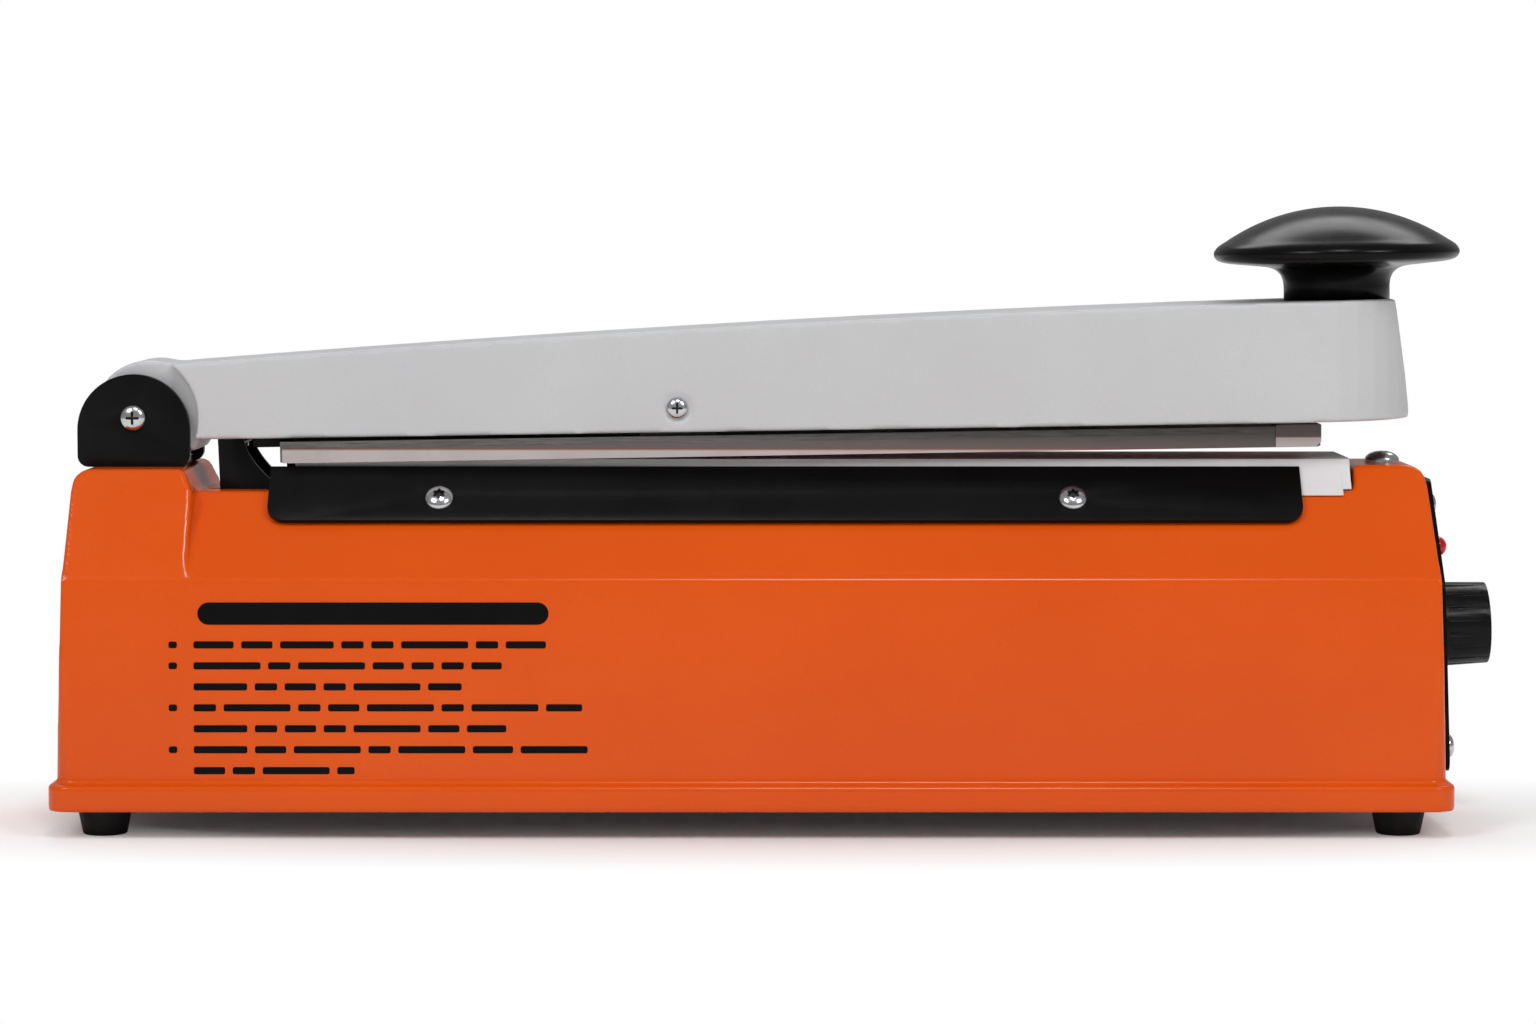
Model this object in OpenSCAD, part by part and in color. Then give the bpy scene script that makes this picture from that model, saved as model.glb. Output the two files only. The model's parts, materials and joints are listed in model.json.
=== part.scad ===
// Impulse heat sealer: a hollow metal base with a heated rail, and a hinged press arm with a mushroom knob.
// Millimetres. +Z is up, -Y is the front, +X is the knob end. The origin is under the bounding box's middle.

/* [Base housing] */
// Length of the base flange along X
base_w = 316; // [290:1:360]
// Depth of the base flange along Y
base_d = 80; // [76:1:100]
// Height of the flange rim
flange_t = 6; // [3:0.5:8]
// Plan corner radius of the flange
flange_r = 5; // [2:0.5:8]
// Ledge of the flange at the end walls
flange_ledge_x = 1.6; // [1:0.1:4]
// Ledge of the flange at the front and rear walls
flange_ledge_y = 2; // [1:0.1:4]
// Housing wall thickness
wall_t = 2.5; // [1.5:0.1:3]
// Lean of the end walls, in degrees
end_draft = 2; // [0:0.1:3]
// Height of the slope between the crease in the front wall and the deck
slope_h = 18.8; // [14:0.1:22]
// Half depth of the housing at the crease
crease_half = 36; // [34:0.1:44]
// Flat edge of the deck beside the rail, where the slope ends
deck_edge = 4.45; // [3:0.05:6]
// Lean of the hinge tower's front face, in degrees from vertical
tower_slope_deg = 30; // [26:0.1:34]
// Height of the deck that the rail stands on
deck_z = 77.2; // [72:0.1:84]
// Height of the hinge tower above the deck
tower_rise = 5.2; // [3:0.1:8]
// Height of the knob-end block above the deck
block_rise = 5.6; // [3:0.1:8]
// Length of the hinge tower along X
tower_w = 29.9; // [24:0.1:31]
// Length of the knob-end block along X
block_w = 19.4; // [14:0.1:24]

/* [Feet] */
// Height of the rubber feet
foot_h = 6.5; // [4:0.5:12]
// Diameter of a foot at the top
foot_d_top = 12.6; // [10:0.1:14]
// Diameter of a foot at the floor
foot_d_floor = 9.9; // [8:0.1:12]
// Foot inset from the end of the flange
foot_inset_x = 11.4; // [10:0.1:20]
// Foot inset from the side of the flange
foot_inset_y = 13.4; // [12:0.1:18]
// Thickness of the steel base plate
plate_t = 1.5; // [1:0.1:2.5]

/* [Hinge] */
// Distance from the end of the flange to the hinge axis
pivot_inset = 16.7; // [15:0.1:18]
// Height of the hinge axis above the tower top
pivot_rise = 11.2; // [11:0.1:14]
// Width across the hinge bracket ears
bracket_w = 27; // [24:0.5:32]
// Bracket sheet thickness
bracket_t = 2.3; // [1.5:0.1:3]
// Radius of the round ear tops
ear_r = 12.8; // [11:0.1:14]
// Drop of the ear arc centre below the hinge axis
ear_drop = 2.85; // [1:0.05:4]
// Hinge bolt diameter
hinge_bolt_d = 4; // [3:0.1:5]
// Hinge bush outer diameter
bush_d = 7; // [6:0.1:9]
// Arm lift at rest above the closed position, in degrees
rest_deg = 0.95; // [0.5:0.05:1.4]
// Arm lift when fully open above the closed position, in degrees
open_deg = 15; // [10:0.5:16]

/* [Press arm] */
// Height of the arm underside above the deck when closed
arm_gap = 11.3; // [10.3:0.1:15]
// Arm height at the hinge end of the wide body
arm_h_near = 17.7; // [14:0.1:20]
// Arm height at the knob end
arm_h_far = 27.5; // [22:0.1:32]
// Arm width at the hinge end of the wide body
arm_w_near = 31; // [28:0.5:36]
// Arm width at the knob end
arm_w_far = 46; // [40:0.5:54]
// Arm wall thickness
arm_wall = 3; // [2:0.1:4]
// Distance from the hinge axis to the far tip of the arm
arm_reach = 293; // [270:1:330]
// Distance from the hinge axis to where the wide body starts
arm_neck = 16; // [15:0.1:18]
// Radius of the knuckle round the hinge
knuckle_r = 13; // [11:0.1:14]
// Distance from the hinge axis to the bar's rocking screw
rock_reach = 124.4; // [110:0.1:140]
// Height of the rocking screw above the arm underside
rock_rise = 5.5; // [4.5:0.1:8]
// Rocking screw diameter
rock_screw_d = 3; // [2.5:0.1:4]

/* [Mushroom knob] */
// Distance from the hinge axis to the knob axis
knob_reach = 276.8; // [255:0.1:285]
// Diameter of the mushroom knob
knob_d = 56.3; // [44:0.1:64]
// Height of the knob with its collar
knob_h = 21.9; // [18:0.1:30]
// Diameter of the knob collar
collar_d = 24.3; // [18:0.1:30]
// Diameter of the knob stud
stud_d = 6; // [5:0.1:8]

/* [Rail and bar] */
// Width of the aluminium rail
rail_w = 28.4; // [24:0.1:30]
// Height of the rail above the deck
rail_h = 6.6; // [5:0.1:8]
// Thickness of the insulating strip under the element
insulation_t = 0.25; // [0.2:0.05:0.5]
// Thickness of the heating element
element_t = 0.15; // [0.1:0.05:0.3]
// Width of the heating element
element_w = 2; // [1:0.5:8]
// Thickness of the woven cover cloth
cloth_t = 0.25; // [0.15:0.05:0.3]
// Length of the clamp plates
clamp_len = 234.4; // [200:0.1:250]
// Sheet thickness of the clamp plates
clamp_t = 1.2; // [0.8:0.1:1.5]
// Spacing of the two screws in each clamp plate
clamp_screw_gap = 143.5; // [120:0.5:180]
// Width of the press bar
bar_w = 34.8; // [34:0.1:38]
// Length of the press bar
bar_len = 236.8; // [200:0.1:244]
// Depth of the press bar channel
bar_h = 4.65; // [4:0.05:5]
// Sheet thickness of the press bar
bar_t = 1.2; // [0.8:0.1:1.4]
// Width of the silicone strip
strip_w = 24; // [12:0.5:28]

/* [Timer and lamp] */
// Height of the timer knob axis
dial_z = 44.9; // [40:0.1:50]
// Diameter of the timer knob skirt
dial_skirt_d = 20.8; // [18:0.1:24]
// Diameter of the timer knob grip
dial_grip_d = 19.5; // [15:0.1:20]
// How far the timer knob stands out from the end wall
dial_tip = 15.2; // [13:0.1:22]
// Height of the lamp above the timer knob axis
lamp_rise = 18.1; // [15:0.1:20]
// Lamp lens diameter
lamp_d = 4.8; // [3:0.1:6]
// Thickness of the control panel
panel_t = 1.5; // [1:0.1:2]

/* [Inside] */
// Length of the transformer core
core_w = 57; // [48:1:66]
// Height of the transformer core
core_h = 47; // [38:1:48]
// Stack depth of the transformer core
core_d = 30; // [20:1:40]
// Width of the hook plate across its legs
hook_w = 19; // [16:0.5:20]
// Bore of the cord gland
gland_bore_d = 7; // [6:0.1:8]

/* [Hidden] */
$fn = 48;
fit = 0.05;        // running clearance on a radius
slack = 0.3;       // clearance beside pieces that don't touch
eps = 0.01;        // how far a cut runs past a face
long = 200;        // a cut that passes everything

orange = "#e66322";
cast_grey = "#bfbfc0";
black = "#1c1c1d";
steel = "#b9bcc0";
brass = "#c9a24a";

// The timer knob stands out past the flange, so the flange centre lies left of the origin.
wall_end_half = base_w / 2 - flange_ledge_x;
dial_x = wall_end_half - (dial_z - foot_h) * tan(end_draft);
tip_x = dial_x + dial_tip * cos(end_draft) + (dial_grip_d / 2 - 0.4) * sin(end_draft);
base_x = -(tip_x - base_w / 2) / 2;

crease_z = deck_z - slope_h;
slope_deg = atan((crease_half - rail_w / 2 - deck_edge) / slope_h);
arm_bottom_z = deck_z + arm_gap;
wall_foot_half = base_d / 2 - flange_ledge_y;
tower_z = deck_z + tower_rise;
block_z = deck_z + block_rise;
tower_right = -wall_end_half + tower_w;
block_left = wall_end_half - block_w;
boss_h = 18;
foot_x = base_w / 2 - foot_inset_x;
foot_y = base_d / 2 - foot_inset_y;
plate_z = foot_h + plate_t;
deck_under = deck_z - wall_t;

pivot_x = -base_w / 2 + pivot_inset;
pivot_z = tower_z + pivot_rise;
ear_z = pivot_z - ear_drop;
ear_in = bracket_w / 2 - bracket_t;
knuckle_w = 2 * ear_in - 0.4;

hook_right = 30.6;         // right edge of the hook's legs, from the hinge axis
hook_left = 19.3;          // left edge of the hook's legs at the crossbar, from the hinge axis
hook_neck = 18.7;          // left edge of the hook's legs at the arm, from the hinge axis
hook_drop = 33.6;          // hinge axis down to the underside of the hook's crossbar
hook_foot_z = pivot_z - hook_drop;
hook_t = 1.5;
slot_left = pivot_x + hook_left - 2.5;
slot_right = pivot_x + hook_right + 7.4;

rail_reach = 37.1;         // hinge axis to the rail's near end
bar_reach = 33.8;          // hinge axis to the press bar's near end
rail_left = pivot_x + rail_reach;
rail_right = block_left - 0.4;
rail_top = deck_z + rail_h;
element_z = rail_top + insulation_t;
cloth_z = element_z + element_t + 0.1;
cloth_top = cloth_z + cloth_t;
cloth_half = rail_w / 2 + 0.15 + cloth_t;
cloth_hem_z = deck_z - 0.9;
clamp_half = cloth_half + 0.25;
clamp_left = rail_left - 5.4;
clamp_right = clamp_left + clamp_len;
clamp_top = cloth_top - 2;
clamp_foot_z = deck_z - 6.8;
clamp_screw_z = cloth_hem_z - 1.8;
clamp_gap = 0.85;          // level gap between the slope and a clamp plate, for the cloth
clamp_seat = clamp_gap * cos(slope_deg) + clamp_t;
clamp_screw_x = 1;

bar_left = pivot_x + bar_reach;
bar_right = bar_left + bar_len;
strip_under = cloth_top + 0.05;
bar_under = cloth_top - 1.55;
bar_top = bar_under + bar_h;
tape_t = 0.15;
rock_x = pivot_x + rock_reach;
rock_z = arm_bottom_z + rock_rise;
rock_ratio = -0.02;        // the bar droops a little at its knob end as the arm lifts
lug_in = 12.2;
lug_t = 1.8;
knob_x = pivot_x + knob_reach;
arm_tip_x = pivot_x + arm_reach;
arm_round_x = arm_tip_x - arm_w_far / 2;
arm_near_x = pivot_x + arm_neck;
arm_far_z = arm_bottom_z + arm_h_far;
arm_roof = 3.5;

dial_rise = dial_z - foot_h;
lever_x = pivot_x + 16.8;
lever_z = hook_foot_z - 1.5;
button_x = lever_x + 6.5;
spring_z = pivot_z - hook_drop + 4.6;
spring_left = pivot_x + 26.5;
spring_right = pivot_x + 62;
gland_x = -96;
gland_z = 26;
core_x = 12;
screw_small_d = 3;
terminal_left = rail_left + 6.5;
terminal_right = rail_right - 6.5;
board_back = 16.6;
board_t = 1.6;

// --- Shared shapes ---

module on_base() { translate([base_x, 0, 0]) children(); }

// Points of a corner of radius r at b, between a and c.
function unit(v) = v / norm(v);
function corner(a, b, c, r, steps = 6) =
  let (u = unit(a - b), w = unit(c - b), half = acos(u * w) / 2, d = r / tan(half),
       centre = b + unit(u + w) * (r / sin(half)), p = b + u * d - centre, q = b + w * d - centre)
  r == 0 ? [b] : [for (i = [0:steps]) centre + r * unit(p * (1 - i / steps) + q * i / steps)];

// A polygon outline with each corner rounded by the radius that follows its point.
function rounded(pts) =
  let (n = len(pts))
  [for (i = [0:n - 1])
    let (a = pts[(i + n - 1) % n], b = pts[i], c = pts[(i + 1) % n])
    each corner([a.x, a.y], [b.x, b.y], [c.x, c.y], b.z)];

module plan_plate(w, d, r, h) {
  linear_extrude(h) polygon(rounded([[-w / 2, -d / 2, r], [w / 2, -d / 2, r], [w / 2, d / 2, r],
                                     [-w / 2, d / 2, r]]));
}

// Extrudes an XZ outline along Y between two Y values.
module along_y(y0, y1) {
  translate([0, y1, 0]) rotate([90, 0, 0]) linear_extrude(y1 - y0) children();
}

// Extrudes a YZ outline along X between two X values.
module along_x(x0, x1) {
  translate([x0, 0, 0]) rotate([90, 0, 90]) linear_extrude(x1 - x0) children();
}

// A round rod along Y.
module rod_y(x, z, r, y0, y1) {
  translate([x, y1, z]) rotate([90, 0, 0]) cylinder(r = r, h = y1 - y0);
}

// A cross-recessed pan-head screw: its head stands on z = 0 and its shank goes down.
module pan_screw(d, head_d, head_h, len) {
  difference() {
    union() {
      cylinder(d = head_d, h = head_h * 0.6);
      translate([0, 0, head_h * 0.6]) cylinder(d1 = head_d, d2 = head_d * 0.62, h = head_h * 0.4);
      translate([0, 0, -len]) cylinder(d = d, h = len + eps);
    }
    for (turn = [0, 90]) rotate(turn)
      translate([-head_d * 0.26, -head_d * 0.06, head_h * 0.45])
        cube([head_d * 0.52, head_d * 0.12, head_h]);
  }
}

// A hexagon-recessed button-head screw on z = 0.
module button_screw(d, head_d, head_h, len) {
  difference() {
    union() {
      cylinder(d = head_d, h = head_h * 0.35);
      translate([0, 0, head_h * 0.35]) cylinder(d1 = head_d, d2 = head_d * 0.6, h = head_h * 0.65);
      translate([0, 0, -len]) cylinder(d = d, h = len + eps);
    }
    translate([0, 0, head_h * 0.4]) cylinder(d = head_d * 0.42, h = head_h, $fn = 6);
  }
}

module hex_nut(d, across, h) {
  difference() {
    cylinder(d = across / cos(30), h = h, $fn = 6);
    translate([0, 0, -eps]) cylinder(d = d + 2 * fit, h = h + 2 * eps);
  }
}

// The arm and all it carries is drawn closed, then lifted to its rest position.
module lifted() {
  on_base() translate([pivot_x, 0, pivot_z]) rotate([0, -rest_deg, 0])
    translate([-pivot_x, 0, -pivot_z]) children();
}

// The press bar also rocks a little about its own screw.
module rocked() {
  lifted() translate([rock_x, 0, rock_z]) rotate([0, -rock_ratio * rest_deg, 0])
    translate([-rock_x, 0, -rock_z]) children();
}

// Local frame of the knob-end wall: x is outward from the face, z is up the wall, origin at the timer axis.
module on_end_wall() {
  on_base() translate([dial_x, 0, dial_z]) rotate([0, -end_draft, 0]) children();
}

module rod_out(y, z, r, x0, x1) { translate([x0, y, z]) rotate([0, 90, 0]) cylinder(r = r, h = x1 - x0); }

// --- Base housing ---

function slope_half(z, deg) = crease_half - (z - crease_z) * tan(deg);

module cross_outline(deg, top, inset) {
  points = [
    [wall_foot_half - inset, foot_h - eps * inset], [crease_half - inset, crease_z],
    [slope_half(top - inset, deg) - inset * 0.9, top - inset]
  ];
  polygon([for (p = points) [p.x, p.y], for (i = [2:-1:0]) [-points[i].x, points[i].y]]);
}

module side_outline(inset) {
  foot = wall_end_half - inset;
  lean = tan(end_draft);
  tower_left = -foot + (tower_z - inset - foot_h) * lean;
  block_right = foot - (block_z - inset - foot_h) * lean;
  polygon(rounded([
    [-foot, foot_h - eps * inset, 0], [tower_left, tower_z - inset, 4],
    [tower_right - 2.2 - inset, tower_z - inset, 2.4],
    [tower_right - inset, deck_z - inset, 0], [block_left + inset, deck_z - inset, 0],
    [block_left + 0.4 + inset, block_z - inset, 1], [block_right, block_z - inset, 4],
    [foot, foot_h - eps * inset, 0]
  ]));
}

module housing_solid(inset) {
  intersection() {
    union() {
      along_x(-wall_end_half, wall_end_half) cross_outline(slope_deg, block_z, inset);
      along_x(-wall_end_half, tower_right - inset) cross_outline(tower_slope_deg, tower_z, inset);
    }
    along_y(-base_d, base_d) side_outline(inset);
    plan_plate(2 * (wall_end_half - inset), 2 * (wall_foot_half - inset), flange_r, long);
  }
}

module slope_screw_holes(side) {
  for (i = [-1, 1]) on_slope(side, clamp_screw_x + i * clamp_screw_gap / 2, clamp_screw_z)
    translate([0, 0, -10]) cylinder(d = 4 + 2 * fit, h = 20);
}

// Local frame on the outer face of the slope: z is outward.
module on_slope(side, x, z) {
  translate([x, side * slope_half(z, slope_deg), z]) rotate([-side * (90 - slope_deg), 0, 0]) children();
}

module boss(x, y) {
  side = sign(y);
  translate([x, y, plate_z]) cylinder(d = 8, h = boss_h);
  translate([x - 1, min(y, side * (wall_foot_half - 1)), plate_z])
    cube([2, abs(side * (wall_foot_half - 1) - y), boss_h - 2]);
}

module body_shell() {
  color(orange) on_base() difference() {
    union() {
      difference() {
        union() {
          housing_solid(0);
          translate([0, 0, foot_h]) plan_plate(base_w, base_d, flange_r, flange_t);
        }
        housing_solid(wall_t);
      }
      for (i = [-1, 1], j = [-1, 1]) boss(i * foot_x, j * foot_y);
    }
    for (i = [-1, 1], j = [-1, 1]) translate([i * foot_x, j * foot_y, 0])
      cylinder(d = 4 + 2 * fit, h = plate_z + 16);
    for (i = [-1, 1]) translate([pivot_x + i * 8, 0, tower_z - 6]) cylinder(d = 4 + 2 * fit, h = 10);
    for (side = [-1, 1]) slope_screw_holes(side);
    for (x = rail_screw_xs) translate([x, 0, deck_under - 1]) cylinder(d = 3 + 2 * fit, h = 6);
    for (x = [terminal_left, terminal_right]) translate([x, 0, deck_under - 1]) cylinder(r = 3.5 + fit, h = 6);
    for (side = [-1, 1]) translate([slot_left, side * (hook_w / 2 - hook_t / 2) - hook_t, deck_under - 2])
      cube([slot_right - slot_left, 2 * hook_t, 6]);
    translate([block_screw_x, 0, block_z - 6]) cylinder(d = 4 + 2 * fit, h = 10);
    translate([gland_x, wall_foot_half - 6, gland_z]) rotate([-90, 0, 0]) cylinder(r = 5.5 + fit, h = 12);
    translate([dial_x, 0, dial_z]) rotate([0, -end_draft, 0]) end_wall_holes(-wall_t - 2, 2);
  }
}

rail_screw_xs = [terminal_left + 26, 0, terminal_right - 20];
block_screw_x = wall_end_half - 10.5;
panel_points = [[-31, -30.5, 3], [31, -30.5, 3], [31, 11.5, 6], [12.6, 34.6, 3], [-12.6, 34.6, 3],
                [-31, 11.5, 6]];
panel_screw_points = [[-9, 28.6], [9, 28.6], [-27, -25], [27, -25]];

// Holes through the end wall and the control panel.
module end_wall_holes(x0, x1) {
  rod_out(0, 0, 3.5 + fit, x0, x1);
  rod_out(0, lamp_rise, lamp_d / 2 + fit, x0, x1);
  for (p = panel_screw_points) rod_out(p.x, p.y, screw_small_d / 2 + fit, x0, x1);
}

module base_plate() {
  color(steel) on_base() difference() {
    translate([0, 0, foot_h])
      plan_plate(2 * (wall_end_half - wall_t - slack), 2 * (wall_foot_half - wall_t - slack),
                 flange_r, plate_t);
    for (i = [-1, 1], j = [-1, 1]) translate([i * foot_x, j * foot_y, 0]) cylinder(d = 4 + 2 * fit, h = 20);
    for (i = [-1, 1]) translate([core_x + i * strap_screw_x, 0, 0]) cylinder(d = 4 + 2 * fit, h = 20);
    for (i = [-1, 1]) translate([switch_x + i * 6, switch_foot_y, 0]) cylinder(d = 3 + 2 * fit, h = 20);
  }
}

module feet() {
  color("#161616") on_base() for (i = [-1, 1], j = [-1, 1]) translate([i * foot_x, j * foot_y, 0])
    difference() {
      cylinder(d1 = foot_d_floor, d2 = foot_d_top, h = foot_h);
      translate([0, 0, -eps]) cylinder(d = 7.6, h = 3.5 + eps);
      cylinder(d = 4 + 2 * fit, h = foot_h + eps);
    }
}

module foot_screws() {
  color(steel) on_base() for (i = [-1, 1], j = [-1, 1]) translate([i * foot_x, j * foot_y, 3.5])
    rotate([180, 0, 0]) pan_screw(4, 7, 2.2, plate_z + 12 - 3.5);
}

// --- Hinge ---

module ear_outline() {
  union() {
    intersection() {
      translate([pivot_x, ear_z]) circle(r = ear_r);
      translate([pivot_x - ear_r, ear_z - eps]) square([2 * ear_r, ear_r + eps]);
    }
    polygon(rounded([[pivot_x - ear_r, tower_z, 2.5], [pivot_x + ear_r, tower_z, 2.5],
                     [pivot_x + ear_r, ear_z, 0], [pivot_x - ear_r, ear_z, 0]]));
  }
}

module hinge_bracket() {
  color(black) on_base() difference() {
    union() {
      for (side = [-1, 1]) along_y(side > 0 ? ear_in : -bracket_w / 2, side > 0 ? bracket_w / 2 : -ear_in)
        ear_outline();
      translate([pivot_x - ear_r + 2.5, -ear_in - eps, tower_z])
        cube([2 * ear_r - 5, 2 * ear_in + 2 * eps, bracket_t]);
    }
    rod_y(pivot_x, pivot_z, hinge_bolt_d / 2 + fit, -bracket_w, bracket_w);
    for (i = [-1, 1]) translate([pivot_x + i * 8, 0, tower_z]) {
      translate([0, 0, -eps]) cylinder(d = 4 + 2 * fit, h = 5);
      translate([0, 0, 0.5]) cylinder(d1 = 4 + 2 * fit, d2 = 7.4, h = bracket_t - 0.5 + eps);
    }
  }
}

module bracket_screws() {
  color(steel) on_base() for (i = [-1, 1]) translate([pivot_x + i * 8, 0, tower_z]) difference() {
    union() {
      translate([0, 0, -5]) cylinder(d = 4, h = 6);
      translate([0, 0, 0.5]) cylinder(d1 = 4, d2 = 7.2, h = bracket_t - 0.55);
    }
    for (turn = [0, 90]) rotate(turn) translate([-2, -0.4, bracket_t - 1]) cube([4, 0.8, 2]);
  }
}

module hinge_bolt() {
  color(steel) on_base() translate([pivot_x, -bracket_w / 2, pivot_z]) rotate([90, 0, 0])
    pan_screw(hinge_bolt_d, 6, 1.7, bracket_w + 5);
}

module hinge_nut() {
  color(steel) on_base() translate([pivot_x, bracket_w / 2, pivot_z]) rotate([-90, 0, 0])
    hex_nut(hinge_bolt_d, 7, 3.2);
}

// --- Heated rail ---

module lower_rail() {
  color(steel) on_base() difference() {
    translate([rail_left, -rail_w / 2, deck_z]) cube([rail_right - rail_left, rail_w, rail_h]);
    for (x = rail_screw_xs) translate([x, 0, deck_z - eps]) cylinder(d = 3 + 2 * fit, h = 5);
    for (x = [terminal_left, terminal_right]) translate([x, 0, deck_z - eps])
      cylinder(r = 3.5 + fit, h = rail_h + 1);
  }
}

module rail_screws() {
  color(steel) on_base() for (x = rail_screw_xs) translate([x, 0, deck_under - anchor_t * (x < -40 ? 1 : 0)])
    rotate([180, 0, 0]) pan_screw(3, 5.6, 2, 4 + wall_t + anchor_t * (x < -40 ? 1 : 0));
}

module insulating_strip() {
  color("#d9cfae") on_base() difference() {
    translate([rail_left, -rail_w / 2 + 2, rail_top])
      cube([rail_right - rail_left, rail_w - 4, insulation_t]);
    for (x = [terminal_left, terminal_right]) translate([x, 0, rail_top - eps]) cylinder(r = 3.6, h = 1);
  }
}

module heating_element() {
  color("#8d8f91") on_base()
    translate([terminal_left - 2, -element_w / 2, element_z])
      cube([terminal_right - terminal_left + 4, element_w, element_t]);
}

module element_terminals() {
  color(brass) on_base() for (x = [terminal_left, terminal_right]) translate([x, 0, deck_under - 5])
    cylinder(r = 2, h = element_z - deck_under + 5);
}

module terminal_bushes() {
  color("#e8e2d4") on_base() for (x = [terminal_left, terminal_right]) translate([x, 0, deck_under - 2])
    difference() {
      union() {
        cylinder(r = 3.5, h = rail_top - deck_under + 2);
        cylinder(r = 5, h = 2);
      }
      translate([0, 0, -eps]) cylinder(r = 2 + fit, h = long);
    }
}

// Half of the cloth's section: over the top, down the side and out over the slope's upper edge.
module cloth_outline(side) {
  out = slope_half(cloth_hem_z, slope_deg) + 0.5;
  bend_z = crease_z + (crease_half + 0.5 - (cloth_half - cloth_t)) / tan(slope_deg);
  inner = [[0, cloth_z], [cloth_half - cloth_t, cloth_z], [cloth_half - cloth_t, bend_z], [out, cloth_hem_z]];
  outer = [[out + cloth_t, cloth_hem_z], [cloth_half, bend_z], [cloth_half, cloth_top], [0, cloth_top]];
  polygon([for (p = concat(inner, outer)) [side * p.x, p.y]]);
}

module rail_cloth() {
  color("#d5d2d3") on_base() for (side = [-1, 1])
    along_x(rail_left + 0.2, rail_right - 0.2) cloth_outline(side);
}

// Section of a clamp plate: an upright lip beside the rail, then a skirt down the slope.
module clamp_outline(side) {
  out = slope_half(clamp_foot_z, slope_deg) + clamp_gap;
  bend_z = crease_z + (crease_half + clamp_gap - clamp_half) / tan(slope_deg);
  outer_bend_z = bend_z + clamp_t * (1 / cos(slope_deg) - 1) / tan(slope_deg);
  polygon([for (p = [[clamp_half, clamp_top], [clamp_half, bend_z], [out, clamp_foot_z],
                     [out + clamp_t * cos(slope_deg), clamp_foot_z + clamp_t * sin(slope_deg)],
                     [clamp_half + clamp_t, outer_bend_z], [clamp_half + clamp_t, clamp_top]])
           [side * p.x, p.y]]);
}

module clamp_plate(side) {
  color(black) on_base() difference() {
    along_x(clamp_left, clamp_right) clamp_outline(side);
    slope_screw_holes(side);
    for (end = [0, 1]) on_slope(side, end ? clamp_right : clamp_left, clamp_foot_z)
      mirror([end, 0, 0]) clamp_corner(side);
  }
}

// Cuts the round lower corner of a clamp plate; x runs into the plate.
module clamp_corner(side) {
  r = 4.2;
  mirror([0, side > 0 ? 1 : 0, 0]) translate([0, -clamp_gap * sin(slope_deg), -5]) difference() {
    translate([-1, -1, 0]) cube([r + 1, r + 1, 12]);
    translate([r, r, -1]) cylinder(r = r, h = 14);
  }
}

module front_clamp() { clamp_plate(-1); }
module rear_clamp() { clamp_plate(1); }

module clamp_screws() {
  color(black) on_base() for (side = [-1, 1], i = [-1, 1])
    on_slope(side, clamp_screw_x + i * clamp_screw_gap / 2, clamp_screw_z)
      translate([0, 0, clamp_seat]) button_screw(4, 6.8, 2, 7.5);
}

module block_screw() {
  color(black) on_base() translate([block_screw_x, 0, block_z]) button_screw(4, 8, 2.6, 7);
}

// --- Transformer ---

strap_t = 1.2;
strap_foot = 11;
strap_screw_x = core_w / 2 + strap_t + strap_foot / 2;
limb = core_w / 6;

module transformer_core() {
  color("#5b5d60") on_base() translate([core_x, 0, plate_z]) difference() {
    translate([-core_w / 2, -core_d / 2, 0]) cube([core_w, core_d, core_h]);
    for (side = [-1, 1]) translate([side * limb * 1.5 - limb / 2, -core_d, limb])
      cube([limb, 2 * core_d, core_h - 2 * limb]);
  }
}

module transformer_coil() {
  color("#b9862f") on_base() translate([core_x, 0, plate_z + limb + slack]) difference() {
    plan_plate(4 * limb - 2 * slack, core_d + 2 * limb, 3, core_h - 2 * limb - 2 * slack);
    translate([-limb - slack / 2, -core_d / 2 - slack / 2, -1])
      cube([2 * limb + slack, core_d + slack, core_h]);
  }
}

module transformer_strap() {
  color(steel) on_base() translate([core_x, 0, plate_z]) difference() {
    along_y(-9, 9) polygon([
      [-core_w / 2 - strap_t - strap_foot, 0], [-core_w / 2, 0], [-core_w / 2, core_h], [core_w / 2, core_h],
      [core_w / 2, 0], [core_w / 2 + strap_t + strap_foot, 0], [core_w / 2 + strap_t + strap_foot, strap_t],
      [core_w / 2 + strap_t, strap_t], [core_w / 2 + strap_t, core_h + strap_t],
      [-core_w / 2 - strap_t, core_h + strap_t], [-core_w / 2 - strap_t, strap_t],
      [-core_w / 2 - strap_t - strap_foot, strap_t]]);
    for (i = [-1, 1]) translate([i * strap_screw_x, 0, -1]) cylinder(d = 4 + 2 * fit, h = 5);
  }
}

module transformer_screws() {
  color(steel) on_base() for (i = [-1, 1]) translate([core_x + i * strap_screw_x, 0, plate_z + strap_t])
    pan_screw(4, 7, 2.2, plate_t + strap_t + 1.5);
}

// --- Switch and return spring ---

switch_w = 20;
switch_d = 8;
switch_h = 12;
switch_x = lever_x + switch_w / 2 - 1.5;
switch_top = lever_z - 2;
switch_foot_y = switch_d / 2 + 8;

module switch_bracket() {
  color(steel) on_base() difference() {
    union() {
      translate([switch_x - 11, switch_d / 2, plate_z]) cube([22, 1.5, switch_top - plate_z]);
      translate([switch_x - 11, switch_d / 2, plate_z]) cube([22, 13, 1.5]);
    }
    for (i = [-1, 1]) {
      rod_y(switch_x + i * 5, switch_top - 8, 1.2 + fit, 0, 10);
      translate([switch_x + i * 6, switch_foot_y, plate_z - 1]) cylinder(d = 3 + 2 * fit, h = 5);
    }
  }
}

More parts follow.
